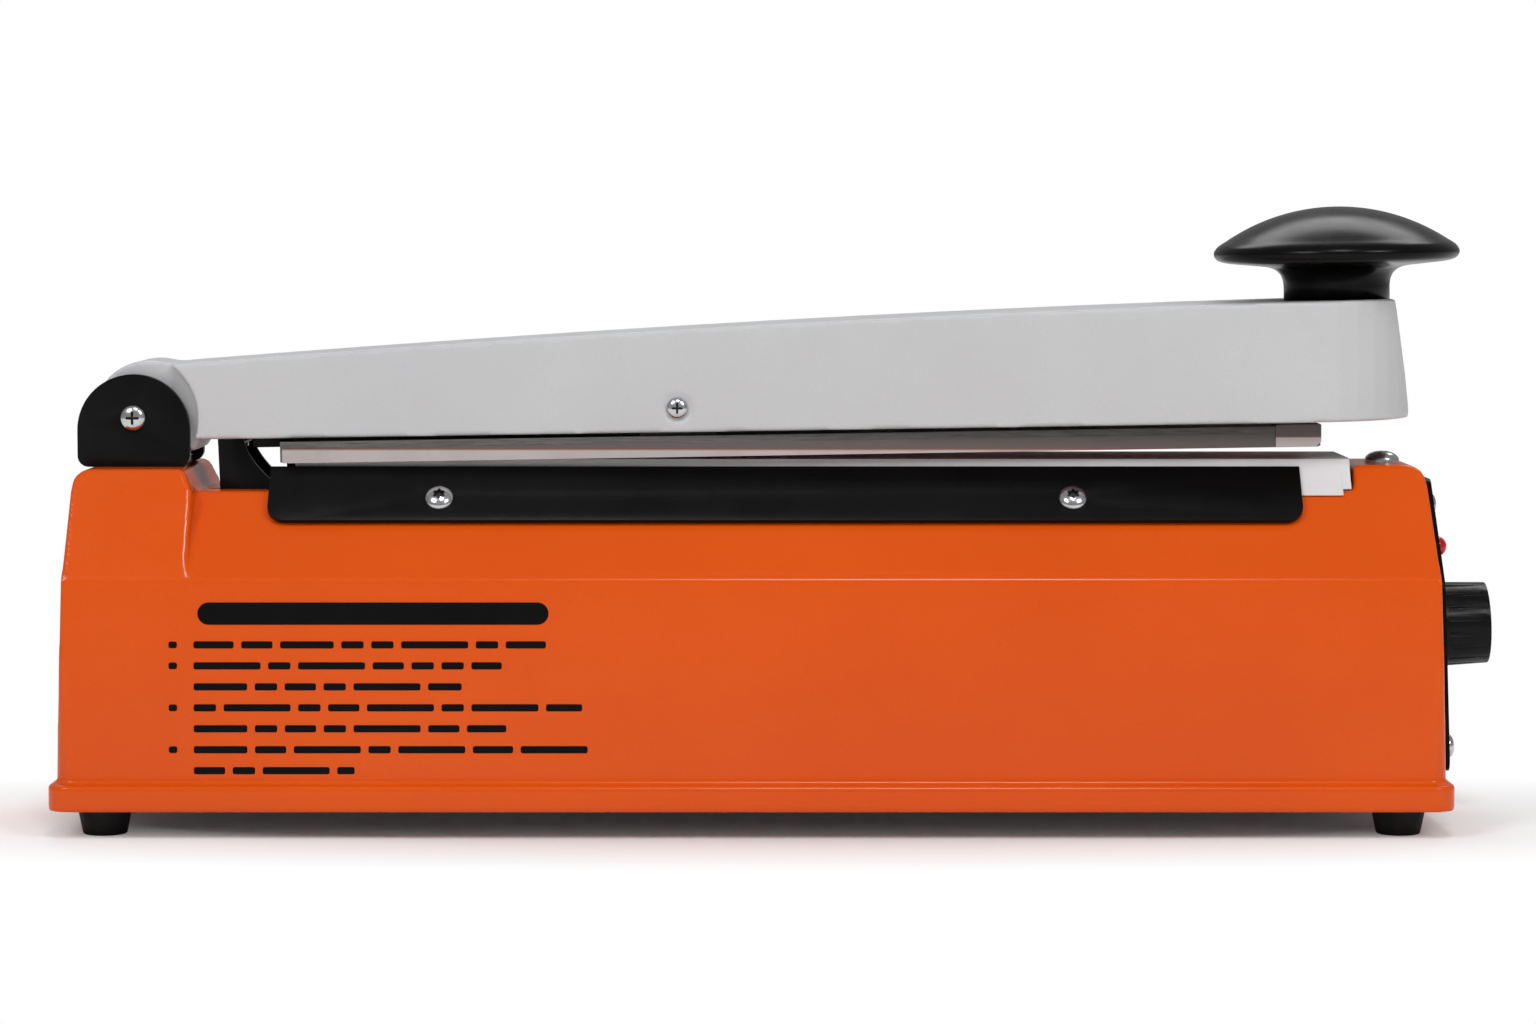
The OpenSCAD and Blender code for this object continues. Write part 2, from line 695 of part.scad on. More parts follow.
module switch_case() {
  color("#3a3a3c") on_base() difference() {
    union() {
      translate([switch_x - switch_w / 2, -switch_d / 2, switch_top - switch_h])
        cube([switch_w, switch_d, switch_h]);
      for (side = [-1, 1]) translate([lever_x - 1.5, side * 3.1 - 0.8, switch_top - 1]) cube([3, 1.6, 4.2]);
    }
    rod_y(lever_x, lever_z, 0.6, -10, 10);
    translate([button_x, 0, switch_top - 4]) cylinder(r = 1 + fit, h = 6);
    for (i = [-1, 1]) rod_y(switch_x + i * 5, switch_top - 8, 1.2 + fit, -10, 10);
  }
}

module switch_screws() {
  color(steel) on_base() {
    for (i = [-1, 1]) translate([switch_x + i * 5, -switch_d / 2, switch_top - 8]) rotate([90, 0, 0])
      pan_screw(2.4, 4.4, 1.5, switch_d + 3);
    for (i = [-1, 1]) translate([switch_x + i * 6, switch_foot_y, plate_z + 1.5]) pan_screw(3, 5.6, 2, 4);
  }
}

module switch_lever() {
  color(steel) on_base() union() {
    rod_y(lever_x, lever_z, 0.55, -3.9, 3.9);
    translate([lever_x - 0.5, -2, lever_z + 0.3]) cube([16, 4, 0.5]);
    translate([lever_x - 0.5, -2, lever_z - 0.4]) cube([1, 4, 1]);
  }
}

module switch_button() {
  color("#a32020") on_base() translate([button_x, 0, switch_top - 3]) cylinder(r = 1, h = 4.6);
}

anchor_t = 1.5;

module spring_anchor() {
  color(steel) on_base() difference() {
    union() {
      translate([rail_screw_xs[0] - 7, -6, deck_under - anchor_t]) cube([14, 12, anchor_t]);
      for (side = [-1, 1]) translate([spring_right - 3, side * 5 - 1, spring_z - 3])
        cube([6, 2, deck_under - spring_z + 3 - eps]);
      rod_y(spring_right, spring_z, 1.4, -5, 5);
    }
    translate([rail_screw_xs[0], 0, deck_under - 3]) cylinder(d = 3 + 2 * fit, h = 5);
  }
}

coil_r = 3.4;
coil_turns = 8;
wire_r = 0.5;
eye_r = 2;

module spring_eye(x) {
  translate([x, 0, spring_z]) rotate([90, 0, 0]) rotate_extrude() translate([eye_r, 0]) circle(r = wire_r);
}

module return_spring() {
  coil_left = spring_left + 8;
  coil_len = spring_right - spring_left - 16;
  color(steel) on_base() union() {
    spring_eye(spring_left);
    spring_eye(spring_right);
    for (x = [spring_left + eye_r, coil_left + coil_len - wire_r]) translate([x, 0, spring_z])
      rotate([0, 90, 0]) cylinder(r = wire_r, h = coil_left - spring_left - eye_r + wire_r);
    for (x = [coil_left, coil_left + coil_len]) translate([x - wire_r, 0, spring_z])
      rotate([0, 90, 0]) cylinder(r = coil_r, h = 2 * wire_r);
    translate([coil_left, 0, spring_z]) rotate([0, 90, 0])
      linear_extrude(coil_len, twist = -360 * coil_turns, slices = 12 * coil_turns, segments = 8)
        translate([coil_r - 0.4, 0]) circle(r = wire_r, $fn = 8);
  }
}

// --- Controls on the knob-end wall ---

module control_panel() {
  color("#141416") on_end_wall() difference() {
    along_x(0, panel_t) polygon(rounded(panel_points));
    end_wall_holes(-1, panel_t + 1);
  }
}

module panel_screws() {
  color(steel) on_end_wall() for (p = panel_screw_points) translate([panel_t, p.x, p.y]) rotate([0, 90, 0])
    pan_screw(screw_small_d, 5.4, 1.6, panel_t + wall_t + 2);
}

module timer_pot() {
  color("#44464a") on_end_wall() difference() {
    union() {
      rod_out(0, 0, 8, -11.5, -wall_t - slack);
      rod_out(0, 0, 3.5, -wall_t - 1, panel_t + 2.2);
      for (y = [-5, 0, 5]) translate([-board_back + board_t, y - 0.4, -8])
        cube([board_back - board_t - 11, 0.8, 2.5]);
    }
    rod_out(0, 0, 3 + fit, -4, 10);
  }
}

module pot_nut() {
  color(steel) on_end_wall() translate([panel_t, 0, 0]) rotate([0, 90, 0]) hex_nut(7, 10, 1.8);
}

module timer_shaft() {
  color(steel) on_end_wall() rod_out(0, 0, 3, -3.8, dial_tip - 3);
}

module timer_knob() {
  ribs = 18;
  color("#1d1d1e") on_end_wall() difference() {
    union() {
      rod_out(0, 0, dial_skirt_d / 2, panel_t + 0.6, panel_t + 3.2);
      translate([panel_t + 3.2 - eps, 0, 0]) rotate([0, 90, 0])
        cylinder(d1 = dial_grip_d, d2 = dial_grip_d - 0.8, h = dial_tip - panel_t - 3.2 + eps);
    }
    rod_out(0, 0, 7, panel_t, panel_t + 2.4);
    rod_out(0, 0, 3 + fit, 0, dial_tip - 3 + slack);
    for (i = [1:ribs - 1]) rotate([i * 360 / ribs, 0, 0])
      rod_out(0, dial_grip_d / 2 + 0.3, 0.7, panel_t + 4.2, dial_tip + 1);
    translate([panel_t + 3.4, -0.5, dial_grip_d / 2 - 1.1]) cube([dial_tip, 1, 2]);
  }
}

lens_reach = 4.3;          // wall face to the centre of the lens's dome

module indicator_lamp() {
  color("#8f0a0e") on_end_wall() union() {
    rod_out(0, lamp_rise, lamp_d / 2, -wall_t - 1, lens_reach);
    translate([lens_reach, 0, lamp_rise]) sphere(r = lamp_d / 2);
    rod_out(0, lamp_rise, lamp_d / 2 + 0.5, -wall_t - 2, -wall_t - 0.2);
    for (y = [-1.2, 1.2]) rod_out(y, lamp_rise, 0.3, -board_back + board_t, -wall_t - 1);
  }
}

module lamp_holder() {
  color(black) on_end_wall() difference() {
    rod_out(0, lamp_rise, lamp_d / 2 + 1.2, panel_t, panel_t + 1);
    rod_out(0, lamp_rise, lamp_d / 2 + fit, panel_t - 1, panel_t + 2);
  }
}

standoff_points = [[-22, -12], [22, -12], [-22, 12], [22, 12]];

module timer_board() {
  color("#1f6b3a") on_end_wall() difference() {
    translate([-board_back, -26, -16]) cube([board_t, 52, 36.5]);
    for (p = standoff_points) rod_out(p.x, p.y, 1.25 + fit, -board_back - 1, 0);
  }
}

module board_standoffs() {
  color(brass) on_end_wall() for (p = standoff_points) difference() {
    rod_out(p.x, p.y, 2.6, -board_back + board_t, -wall_t);
    rod_out(p.x, p.y, 1.25 + fit, -board_back, -wall_t - 3);
  }
}

module board_screws() {
  color(steel) on_end_wall() for (p = standoff_points) translate([-board_back, p.x, p.y]) rotate([0, -90, 0])
    pan_screw(2.5, 4.6, 1.5, 7);
}

module timer_relay() {
  color("#2458a6") on_end_wall() translate([-board_back - 15.5, -14, -14]) cube([15.5, 16, 20]);
}

module board_capacitors() {
  color("#2b2b33") on_end_wall() for (z = [-9, 6]) rod_out(12, z, 5, -board_back - 13, -board_back);
}

module terminal_block() {
  color("#e4e0d2") on_base() translate([76, -10, plate_z]) difference() {
    cube([14, 34, 13]);
    for (y = [6, 17, 28]) {
      translate([7, y, 6]) cylinder(d = 4, h = 10);
      translate([-1, y, 5]) rotate([0, 90, 0]) cylinder(d = 3, h = 16);
    }
  }
}

module cord_gland() {
  color("#19191a") on_base() translate([gland_x, 0, gland_z]) rotate([-90, 0, 0]) difference() {
    union() {
      translate([0, 0, wall_foot_half - 7]) cylinder(r = 5.5, h = 7.5);
      translate([0, 0, wall_foot_half - 0.2]) cylinder(r1 = 7, r2 = 6, h = flange_ledge_y - 0.2);
      translate([0, 0, wall_foot_half - 7]) cylinder(r = 6.6, h = 2.8);
    }
    cylinder(d = gland_bore_d, h = long);
  }
}

// --- Press arm ---

arm_span = arm_tip_x - arm_near_x;

function arm_top(x) =
  let (t = min(1, (x - arm_near_x) / arm_span))
  arm_far_z - (arm_h_far - arm_h_near) * pow(1 - t, 1.7);
function arm_half(x) =
  arm_w_near / 2 + (arm_w_far - arm_w_near) / 2 * min(1, (x - arm_near_x) / (arm_round_x - arm_near_x));

arm_tip_lean = 4.6;        // how far the tip leans back over the arm's height
cheek_r = 15;              // the arm's cheeks end on this radius round the hinge, clear of the ears
cheek_low = asin((arm_bottom_z - pivot_z) / cheek_r);
cheek_high = asin((arm_top(pivot_x + 9) - pivot_z) / cheek_r);

function arm_start(inset) = inset == 0 ? pivot_x + cheek_r * cos(cheek_high) : arm_near_x + inset * 3;

module arm_side(inset, roof) {
  steps = 12;
  x0 = arm_start(inset);
  x1 = arm_tip_x - inset;
  near = inset == 0 ? [for (i = [0:steps - 1]) let (a = cheek_low + (cheek_high - cheek_low) * i / steps)
                       [pivot_x + cheek_r * cos(a), pivot_z + cheek_r * sin(a)]]
                    : [[x0, arm_bottom_z - roof]];
  top = [for (i = [0:steps]) let (x = x0 + (x1 - arm_tip_lean - x0) * i / steps) [x, arm_top(x) - roof]];
  polygon(concat([[x1, arm_bottom_z - roof]], near, top));
}

module arm_plan(inset) {
  steps = 16;
  r = arm_w_far / 2 - inset;
  tip = [for (i = [0:steps]) [arm_round_x + r * sin(180 * i / steps), r * cos(180 * i / steps)]];
  near = arm_w_near / 2 - inset;
  polygon(concat([[arm_start(inset), -near], [arm_start(inset), near]], tip));
}

module arm_block(inset, roof) {
  intersection() {
    along_y(-arm_w_far, arm_w_far) arm_side(inset, roof);
    translate([0, 0, arm_bottom_z - 10]) linear_extrude(60) arm_plan(inset);
  }
}

knuckle_x = pivot_x + 3.3;

module knuckle() {
  intersection() {
    along_y(-knuckle_w / 2, knuckle_w / 2) union() {
      translate([knuckle_x, pivot_z]) circle(r = knuckle_r);
      polygon([[knuckle_x, arm_bottom_z], [arm_near_x + 4, arm_bottom_z],
               [arm_near_x + 4, arm_top(arm_near_x) - 1],
               [knuckle_x, pivot_z + knuckle_r - 0.4]]);
    }
    above_web(0);
    above_web(open_deg);
  }
}

// Everything above the bracket's web, as seen from the arm when it's lifted by deg.
module above_web(deg) {
  translate([pivot_x, 0, pivot_z]) rotate([0, deg, 0])
    translate([-30, -long, bracket_t + 1 - pivot_rise]) cube([60, 2 * long, 60]);
}

module press_arm() {
  color(cast_grey) lifted() difference() {
    union() {
      difference() {
        union() {
          arm_block(0, 0);
          knuckle();
        }
        difference() {
          arm_block(arm_wall, arm_roof);
          translate([knob_x, 0, arm_far_z - arm_roof - 4]) cylinder(r = 9, h = 10);
        }
      }
    }
    rod_y(pivot_x, pivot_z, bush_d / 2 + fit, -long, long);
    rod_y(rock_x, rock_z, rock_screw_d / 2 + fit, -long, long);
    for (side = [-1, 1]) rod_y(rock_x, rock_z, 3.6, side > 0 ? rock_seat : -long, side > 0 ? long : -rock_seat);
    translate([knob_x, 0, arm_bottom_z]) cylinder(d = stud_d + 2 * fit, h = 60);
    translate([knob_x, 0, arm_top(knob_x) - 0.6]) cylinder(d = collar_d + 1, h = 10);
    for (y = [-4, 4]) translate([hook_screw_x, y, arm_bottom_z - 1]) cylinder(d = 3 + 2 * fit, h = 8);
  }
}

rock_seat = arm_half(rock_x) - 0.35;
hook_screw_x = pivot_x + 21.6;

module hinge_bush() {
  color(brass) lifted() difference() {
    rod_y(pivot_x, pivot_z, bush_d / 2, -knuckle_w / 2, knuckle_w / 2);
    rod_y(pivot_x, pivot_z, hinge_bolt_d / 2 + fit, -long, long);
  }
}

// A leg of the hook: narrow at the arm, sweeping out to its full width over the flare's height.
module hook_outline() {
  steps = 8;
  flare_h = 9.8;
  neck_right = 24.5;
  sweep = [for (i = [0:steps]) let (t = i / steps)
    [pivot_x + neck_right + (hook_right - neck_right) * pow(t, 1.7), arm_bottom_z - flare_h * t]];
  polygon(concat([[pivot_x + hook_left, hook_foot_z], [pivot_x + hook_neck, arm_bottom_z]], sweep,
                 [[pivot_x + hook_right, hook_foot_z]]));
}

module hook_plate() {
  color("#292726") lifted() difference() {
    union() {
      for (side = [-1, 1]) along_y(side > 0 ? hook_w / 2 - hook_t : -hook_w / 2,
                                   side > 0 ? hook_w / 2 : -hook_w / 2 + hook_t) hook_outline();
      translate([pivot_x + hook_neck, -hook_w / 2, arm_bottom_z - hook_t]) cube([5.8, hook_w, hook_t]);
      translate([pivot_x + hook_left, -hook_w / 2, hook_foot_z]) cube([hook_right - hook_left, hook_w, hook_t]);
    }
    for (y = [-4, 4]) translate([hook_screw_x, y, arm_bottom_z - 5]) cylinder(d = 3 + 2 * fit, h = 8);
    rod_y(spring_left_closed.x, spring_left_closed.y, 1.4 + fit, -long, long);
  }
}

// The spring pin's place when the arm is closed, so that it lies at the spring's eye at rest.
spring_left_closed = let (dx = spring_left - pivot_x, dz = spring_z - pivot_z)
  [pivot_x + dx * cos(rest_deg) + dz * sin(rest_deg), pivot_z - dx * sin(rest_deg) + dz * cos(rest_deg)];

module hook_screws() {
  color(steel) lifted() for (y = [-4, 4]) translate([hook_screw_x, y, arm_bottom_z - hook_t])
    rotate([180, 0, 0]) pan_screw(3, 5, 1.8, 7);
}

module hook_pad() {
  color(black) lifted() translate([pivot_x + 26.8, -10, arm_bottom_z - 2.3]) cube([6.4, 20, 2.3]);
}

module spring_pin() {
  color(steel) lifted() rod_y(spring_left_closed.x, spring_left_closed.y, 1.4, -hook_w / 2, hook_w / 2);
}

module bar_screw() {
  color(steel) lifted() translate([rock_x, -rock_seat, rock_z]) rotate([90, 0, 0])
    pan_screw(rock_screw_d, 5, 1.5, 2 * rock_seat + 2.6);
}

module bar_nut() {
  color(steel) lifted() translate([rock_x, rock_seat, rock_z]) rotate([-90, 0, 0])
    hex_nut(rock_screw_d, 5.4, 2.2);
}

// --- Mushroom knob ---

knob_seat = arm_top(knob_x) - 0.6;

module mushroom_knob() {
  rim_r = knob_d / 2;
  cap_r = rim_r * 0.9;
  cap_h = knob_h * 0.352;
  ball_r = (cap_r * cap_r + cap_h * cap_h) / (2 * cap_h);
  cap = [for (i = [10:-1:0]) let (r = cap_r * i / 10) [r, knob_h - ball_r + sqrt(ball_r * ball_r - r * r)]];
  flare = [for (i = [0:6]) let (a = 90 * i / 6)
    [collar_d / 2 + 2.9 * (1 - cos(a)), knob_h * (0.18 + 0.19 * sin(a))]];
  rim = [for (p = [[0.87, 0.41], [0.95, 0.427], [0.985, 0.455], [1, 0.502], [0.992, 0.55], [0.96, 0.6]])
    [rim_r * p.x, knob_h * p.y]];
  color(black) lifted() translate([knob_x, 0, knob_seat]) difference() {
    rotate_extrude() polygon(concat([[0, 0], [collar_d / 2, 0]], flare, rim, cap));
    translate([0, 0, -eps]) cylinder(d = stud_d + 2 * fit, h = knob_h * 0.6);
  }
}

module knob_stud() {
  color(steel) lifted() translate([knob_x, 0, arm_far_z - arm_roof - 4 - 4]) cylinder(d = stud_d, h = 21);
}

module knob_nut() {
  color(steel) lifted() translate([knob_x, 0, arm_far_z - arm_roof - 4 - 3.2]) hex_nut(stud_d, 10, 3.2);
}

// --- Press bar ---

module press_bar() {
  color("#6f7073") rocked() difference() {
    union() {
      difference() {
        translate([bar_left, -bar_w / 2, bar_under]) cube([bar_len, bar_w, bar_h]);
        translate([bar_left - 1, -bar_w / 2 + bar_t, bar_under - 1])
          cube([bar_len + 2, bar_w - 2 * bar_t, bar_h - bar_t + 1]);
      }
      for (side = [-1, 1]) along_y(side > 0 ? lug_in : -lug_in - lug_t, side > 0 ? lug_in + lug_t : -lug_in)
        polygon([[rock_x - 9, bar_top - eps], [rock_x + 9, bar_top - eps], [rock_x + 4.5, rock_z + 4],
                 [rock_x - 4.5, rock_z + 4]]);
    }
    rod_y(rock_x, rock_z, rock_screw_d / 2 + fit, -long, long);
  }
}

module silicone_strip() {
  color("#b5482f") rocked() translate([bar_left + 1, -strip_w / 2, strip_under])
    cube([bar_len - 2, strip_w, bar_top - bar_t - strip_under]);
}

module press_cloth() {
  tape_h = 3.1;
  color("#8f8c8a") rocked() for (side = [-1, 1]) along_x(bar_left + 0.5, bar_right - 0.5)
    polygon([for (p = [[bar_w / 2, bar_under + tape_h], [bar_w / 2, bar_under], [bar_w / 2 - bar_t, bar_under],
                       [bar_w / 2 - bar_t, bar_under - tape_t], [bar_w / 2 + tape_t, bar_under - tape_t],
                       [bar_w / 2 + tape_t, bar_under + tape_h]]) [side * p.x, p.y]]);
}

body_shell();
base_plate();
feet();
foot_screws();
hinge_bracket();
bracket_screws();
hinge_bolt();
hinge_nut();
lower_rail();
rail_screws();
insulating_strip();
heating_element();
element_terminals();
terminal_bushes();
rail_cloth();
front_clamp();
rear_clamp();
clamp_screws();
block_screw();
transformer_core();
transformer_coil();
transformer_strap();
transformer_screws();
switch_bracket();
switch_case();
switch_screws();
spring_anchor();
return_spring();
control_panel();
panel_screws();
timer_pot();
pot_nut();
indicator_lamp();
lamp_holder();
timer_board();
board_standoffs();
board_screws();
timer_relay();
board_capacitors();
terminal_block();
cord_gland();
press_arm();
hinge_bush();
hook_plate();
hook_screws();
hook_pad();
spring_pin();
bar_screw();
bar_nut();
mushroom_knob();
knob_stud();
knob_nut();
press_bar();
silicone_strip();
press_cloth();
timer_knob();
timer_shaft();
switch_lever();
switch_button();
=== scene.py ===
import json
import math
import random

import bmesh
import bpy
import numpy as np
from mathutils import Matrix, Vector

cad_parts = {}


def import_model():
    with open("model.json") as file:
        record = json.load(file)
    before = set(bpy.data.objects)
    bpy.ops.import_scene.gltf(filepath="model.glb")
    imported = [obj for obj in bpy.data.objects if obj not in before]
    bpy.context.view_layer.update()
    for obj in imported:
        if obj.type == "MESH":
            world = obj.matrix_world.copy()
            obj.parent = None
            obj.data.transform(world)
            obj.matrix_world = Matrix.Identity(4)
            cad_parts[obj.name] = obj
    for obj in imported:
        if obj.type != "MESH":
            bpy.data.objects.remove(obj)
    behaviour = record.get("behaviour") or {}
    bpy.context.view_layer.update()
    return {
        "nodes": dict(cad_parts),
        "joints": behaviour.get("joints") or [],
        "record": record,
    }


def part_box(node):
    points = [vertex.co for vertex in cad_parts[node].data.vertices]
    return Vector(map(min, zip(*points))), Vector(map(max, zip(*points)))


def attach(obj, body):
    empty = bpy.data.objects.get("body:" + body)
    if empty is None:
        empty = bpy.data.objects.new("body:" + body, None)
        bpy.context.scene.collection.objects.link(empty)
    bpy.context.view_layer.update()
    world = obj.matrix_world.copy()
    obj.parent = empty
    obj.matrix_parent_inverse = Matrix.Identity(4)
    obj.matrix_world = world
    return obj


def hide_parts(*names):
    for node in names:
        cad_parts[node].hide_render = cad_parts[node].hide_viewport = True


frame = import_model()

NODES = frame["nodes"]
MM = 0.001
WELD_MM = 0.002


# --- Places, all from the frame ---

shell_lo, shell_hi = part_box("body_shell")
BASE_X = (shell_lo.x + shell_hi.x) / 2
BASE_HALF_D = (shell_hi.y - shell_lo.y) / 2
REST_DEG = -next(j for j in frame["joints"] if j["name"] == "arm_hinge")["range_deg"][0]


def front_hit(x, z):
    """Where a level ray from the front meets the body shell."""
    shell = NODES["body_shell"]
    inverse = shell.matrix_world.inverted()
    start = inverse @ Vector((x, shell_lo.y - 0.05, z))
    hit, spot, _, _ = shell.ray_cast(start, (inverse.to_3x3() @ Vector((0, 1, 0))).normalized())
    assert hit, (x, z)
    return shell.matrix_world @ spot


# Two points on the lower front wall and two on the slope above it.
WALL_LOW, WALL_HIGH, SLOPE_FOOT, SLOPE_TOP = (front_hit(BASE_X, shell_lo.z + up * MM) for up in (12, 45, 56, 62))


def wall_y(z):
    share = (z - WALL_LOW.z) / (WALL_HIGH.z - WALL_LOW.z)
    return WALL_LOW.y + (WALL_HIGH.y - WALL_LOW.y) * share


def crease():
    """The corner between the lower front wall and the slope."""
    wall = (WALL_HIGH.y - WALL_LOW.y) / (WALL_HIGH.z - WALL_LOW.z)
    slope = (SLOPE_TOP.y - SLOPE_FOOT.y) / (SLOPE_TOP.z - SLOPE_FOOT.z)
    z = (WALL_LOW.y - wall * WALL_LOW.z - SLOPE_FOOT.y + slope * SLOPE_FOOT.z) / (slope - wall)
    return Vector((BASE_X, wall_y(z), z))


CREASE = crease()


# --- Small helpers ---

def link(obj):
    bpy.context.scene.collection.objects.link(obj)
    return obj


def mesh_object(name, verts, faces):
    mesh = bpy.data.meshes.new(name)
    mesh.from_pydata([tuple(v) for v in verts], [], faces)
    mesh.update()
    return link(bpy.data.objects.new(name, mesh))


def outward_object(name, verts, faces):
    """A mesh whose faces all look outward."""
    bm = bmesh.new()
    made = [bm.verts.new(v) for v in verts]
    for face in faces:
        bm.faces.new([made[i] for i in face])
    bmesh.ops.recalc_face_normals(bm, faces=bm.faces)
    mesh = bpy.data.meshes.new(name)
    bm.to_mesh(mesh)
    bm.free()
    return link(bpy.data.objects.new(name, mesh))


def smooth(obj, angle=35):
    """Smooth shading, with edges sharper than the angle kept."""
    for polygon in obj.data.polygons:
        polygon.use_smooth = True
    obj.data.set_sharp_from_angle(angle=math.radians(angle))


def apply_modifiers(obj):
    deps = bpy.context.evaluated_depsgraph_get()
    done = bpy.data.meshes.new_from_object(obj.evaluated_get(deps))
    obj.modifiers.clear()
    obj.data = done


def place(obj, body, material, replaced=()):
    obj.data.materials.clear()
    obj.data.materials.append(material)
    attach(obj, body)
    if replaced:
        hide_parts(*replaced)
    return obj


def rounded_skin(node, voxel_mm, passes, keep):
    """A copy of a CAD node with its edges rounded: remeshed, relaxed, then thinned to a share of its faces."""
    skin = link(bpy.data.objects.new(node + "_skin", NODES[node].data.copy()))
    skin.matrix_world = NODES[node].matrix_world
    remesh = skin.modifiers.new("remesh", "REMESH")
    remesh.mode = "VOXEL"
    remesh.voxel_size = voxel_mm * MM
    relax = skin.modifiers.new("relax", "SMOOTH")
    relax.factor, relax.iterations = 0.5, passes
    thin = skin.modifiers.new("thin", "DECIMATE")
    thin.ratio = keep
    apply_modifiers(skin)
    smooth(skin, 80)
    return skin


def soften(node, width_mm):
    """Rounds a CAD node's edges with modifiers only."""
    obj = NODES[node]
    weld = obj.modifiers.new("weld", "WELD")
    weld.merge_threshold = WELD_MM * MM
    flat = obj.modifiers.new("flat", "DECIMATE")
    flat.decimate_type = "DISSOLVE"
    flat.angle_limit = math.radians(1)
    edge = obj.modifiers.new("edge", "BEVEL")
    edge.width = width_mm * MM
    edge.segments = 3
    edge.limit_method = "ANGLE"
    edge.angle_limit = math.radians(30)
    edge.harden_normals = True


def loose_parts(node):
    """The corners of each separate solid of a CAD node, where it stands in the scene."""
    obj = NODES[node]
    bm = bmesh.new()
    bm.from_mesh(obj.data)
    bm.transform(obj.matrix_world)
    bmesh.ops.remove_doubles(bm, verts=bm.verts, dist=WELD_MM * MM)
    parts, seen = [], set()
    for first in bm.verts:
        if first in seen:
            continue
        stack, part = [first], []
        seen.add(first)
        while stack:
            vert = stack.pop()
            part.append(tuple(vert.co))
            for edge in vert.link_edges:
                other = edge.other_vert(vert)
                if other not in seen:
                    seen.add(other)
                    stack.append(other)
        parts.append(np.array(part))
    bm.free()
    return parts


def ring_mesh(rings, start, end):
    """A closed surface through rings of points, each ring as long as the next, between two end points."""
    n = len(rings[0])
    verts = [start] + [p for ring in rings for p in ring] + [end]
    faces = [(0, 1 + (i + 1) % n, 1 + i) for i in range(n)]
    for k in range(len(rings) - 1):
        a, b = 1 + k * n, 1 + (k + 1) * n
        faces += [(a + i, a + (i + 1) % n, b + (i + 1) % n, b + i) for i in range(n)]
    a = 1 + (len(rings) - 1) * n
    faces += [(len(verts) - 1, a + i, a + (i + 1) % n) for i in range(n)]
    return verts, faces


# --- Screws ---

ANGLES = 72


def cross_recess(size):
    """Outline of a cross recess: its radius at each angle."""
    half = size * 0.2

    def radius(t):
        c, d = abs(math.cos(t)) + 1e-6, abs(math.sin(t)) + 1e-6
        return max(min(size / c, half / d), min(size / d, half / c))
    return radius


def lobed_recess(size):
    return lambda t: size * (0.86 + 0.14 * math.cos(6 * t))


def screw_rings(head_r, head_h, shank_r, low, recess, depth):
    """A domed screw on z = 0 with a recess in its head; low is where its shank ends."""
    angles = [2 * math.pi * i / ANGLES for i in range(ANGLES)]

    def ring(radius_at, z_at):
        return [(radius_at(t) * math.cos(t), radius_at(t) * math.sin(t), z_at(radius_at(t))) for t in angles]

    def dome(r):
        return head_h * 0.15 + head_h * 0.85 * math.sqrt(max(0.0, 1 - (r / head_r) ** 2))

    def between(share):
        return lambda t: recess(t) * (1 - share) + head_r * share

    floor_z = head_h - depth
    rings = [ring(lambda t: recess(t) * 0.82, lambda r: floor_z), ring(lambda t: recess(t) * 0.96, dome)]
    rings += [ring(between(share), dome) for share in (0.04, 0.2, 0.4, 0.6, 0.75, 0.88, 0.96, 1)]
    rings += [ring(lambda t: head_r, lambda r: 0), ring(lambda t: shank_r, lambda r: 0),
              ring(lambda t: shank_r, lambda r: low), ring(lambda t: shank_r * 0.8, lambda r: low)]
    return ring_mesh(rings, (0, 0, floor_z), (0, 0, low))


def screws(node, head_h_mm, shank_r_mm, recess_of, recess_share, depth_mm, body):
    """Replaces a node of screws with domed ones, each on the axis that its CAD solid has.

    The recess is a share of the head's radius wide, and its walls and floor take a dark material as painted
    shade.
    """
    verts, faces, shaded_recess_faces = [], [], []
    tip = head_h_mm * MM
    for points in loose_parts(node):
        centre = points.mean(axis=0)
        axis = np.linalg.svd(points - centre)[2][0]
        along = (points - centre) @ axis
        away = np.linalg.norm(points - centre - along[:, None] * axis, axis=1)
        if away[along > along.max() - tip].max() < away[along < along.min() + tip].max():
            axis, along = -axis, -along
        ends = points[along < along.min() + 0.1 * MM]
        on_axis = (ends.min(axis=0) + ends.max(axis=0)) / 2
        from_axis = points - on_axis - ((points - on_axis) @ axis)[:, None] * axis
        head_r = np.linalg.norm(from_axis, axis=1).max()
        shank = along.max() - along.min() - tip
        seat, low = on_axis + axis * shank, -shank
        v, f = screw_rings(head_r, tip, shank_r_mm * MM, low, recess_of(head_r * recess_share), depth_mm * MM)
        turn = Vector(axis).to_track_quat("Z", "X").to_matrix().to_4x4()
        turn = Matrix.Translation(Vector(seat)) @ turn
        shaded_recess_faces += [len(faces) + i for i in range(2 * ANGLES)]
        faces += [tuple(i + len(verts) for i in face) for face in f]
        verts += [turn @ Vector(p) for p in v]
    obj = mesh_object(node + "_turned", verts, faces)
    smooth(obj, 40)
    place(obj, body, MATERIALS["zinc_steel"], [node])
    # The recess faces get the dark plastic: painted shade inside the recess, which is the same zinc-plated steel
    # as the head.
    obj.data.materials.append(MATERIALS["dark_plastic"])
    for i in shaded_recess_faces:
        obj.data.polygons[i].material_index = 1


# --- Lathe and cloth ---

def arc(points, steps):
    """A smooth curve through the points, as a Catmull-Rom spline."""
    out = []
    for i in range(len(points) - 1):
        a, b, c, d = (points[max(0, min(len(points) - 1, i + k))] for k in (-1, 0, 1, 2))
        for j in range(steps):
            t = j / steps
            out.append(tuple(0.5 * (2 * q + (r - p) * t + (2 * p - 5 * q + 4 * r - s) * t * t
                                    + (3 * q - p - 3 * r + s) * t ** 3) for p, q, r, s in zip(a, b, c, d)))
    return out + [tuple(points[-1])]


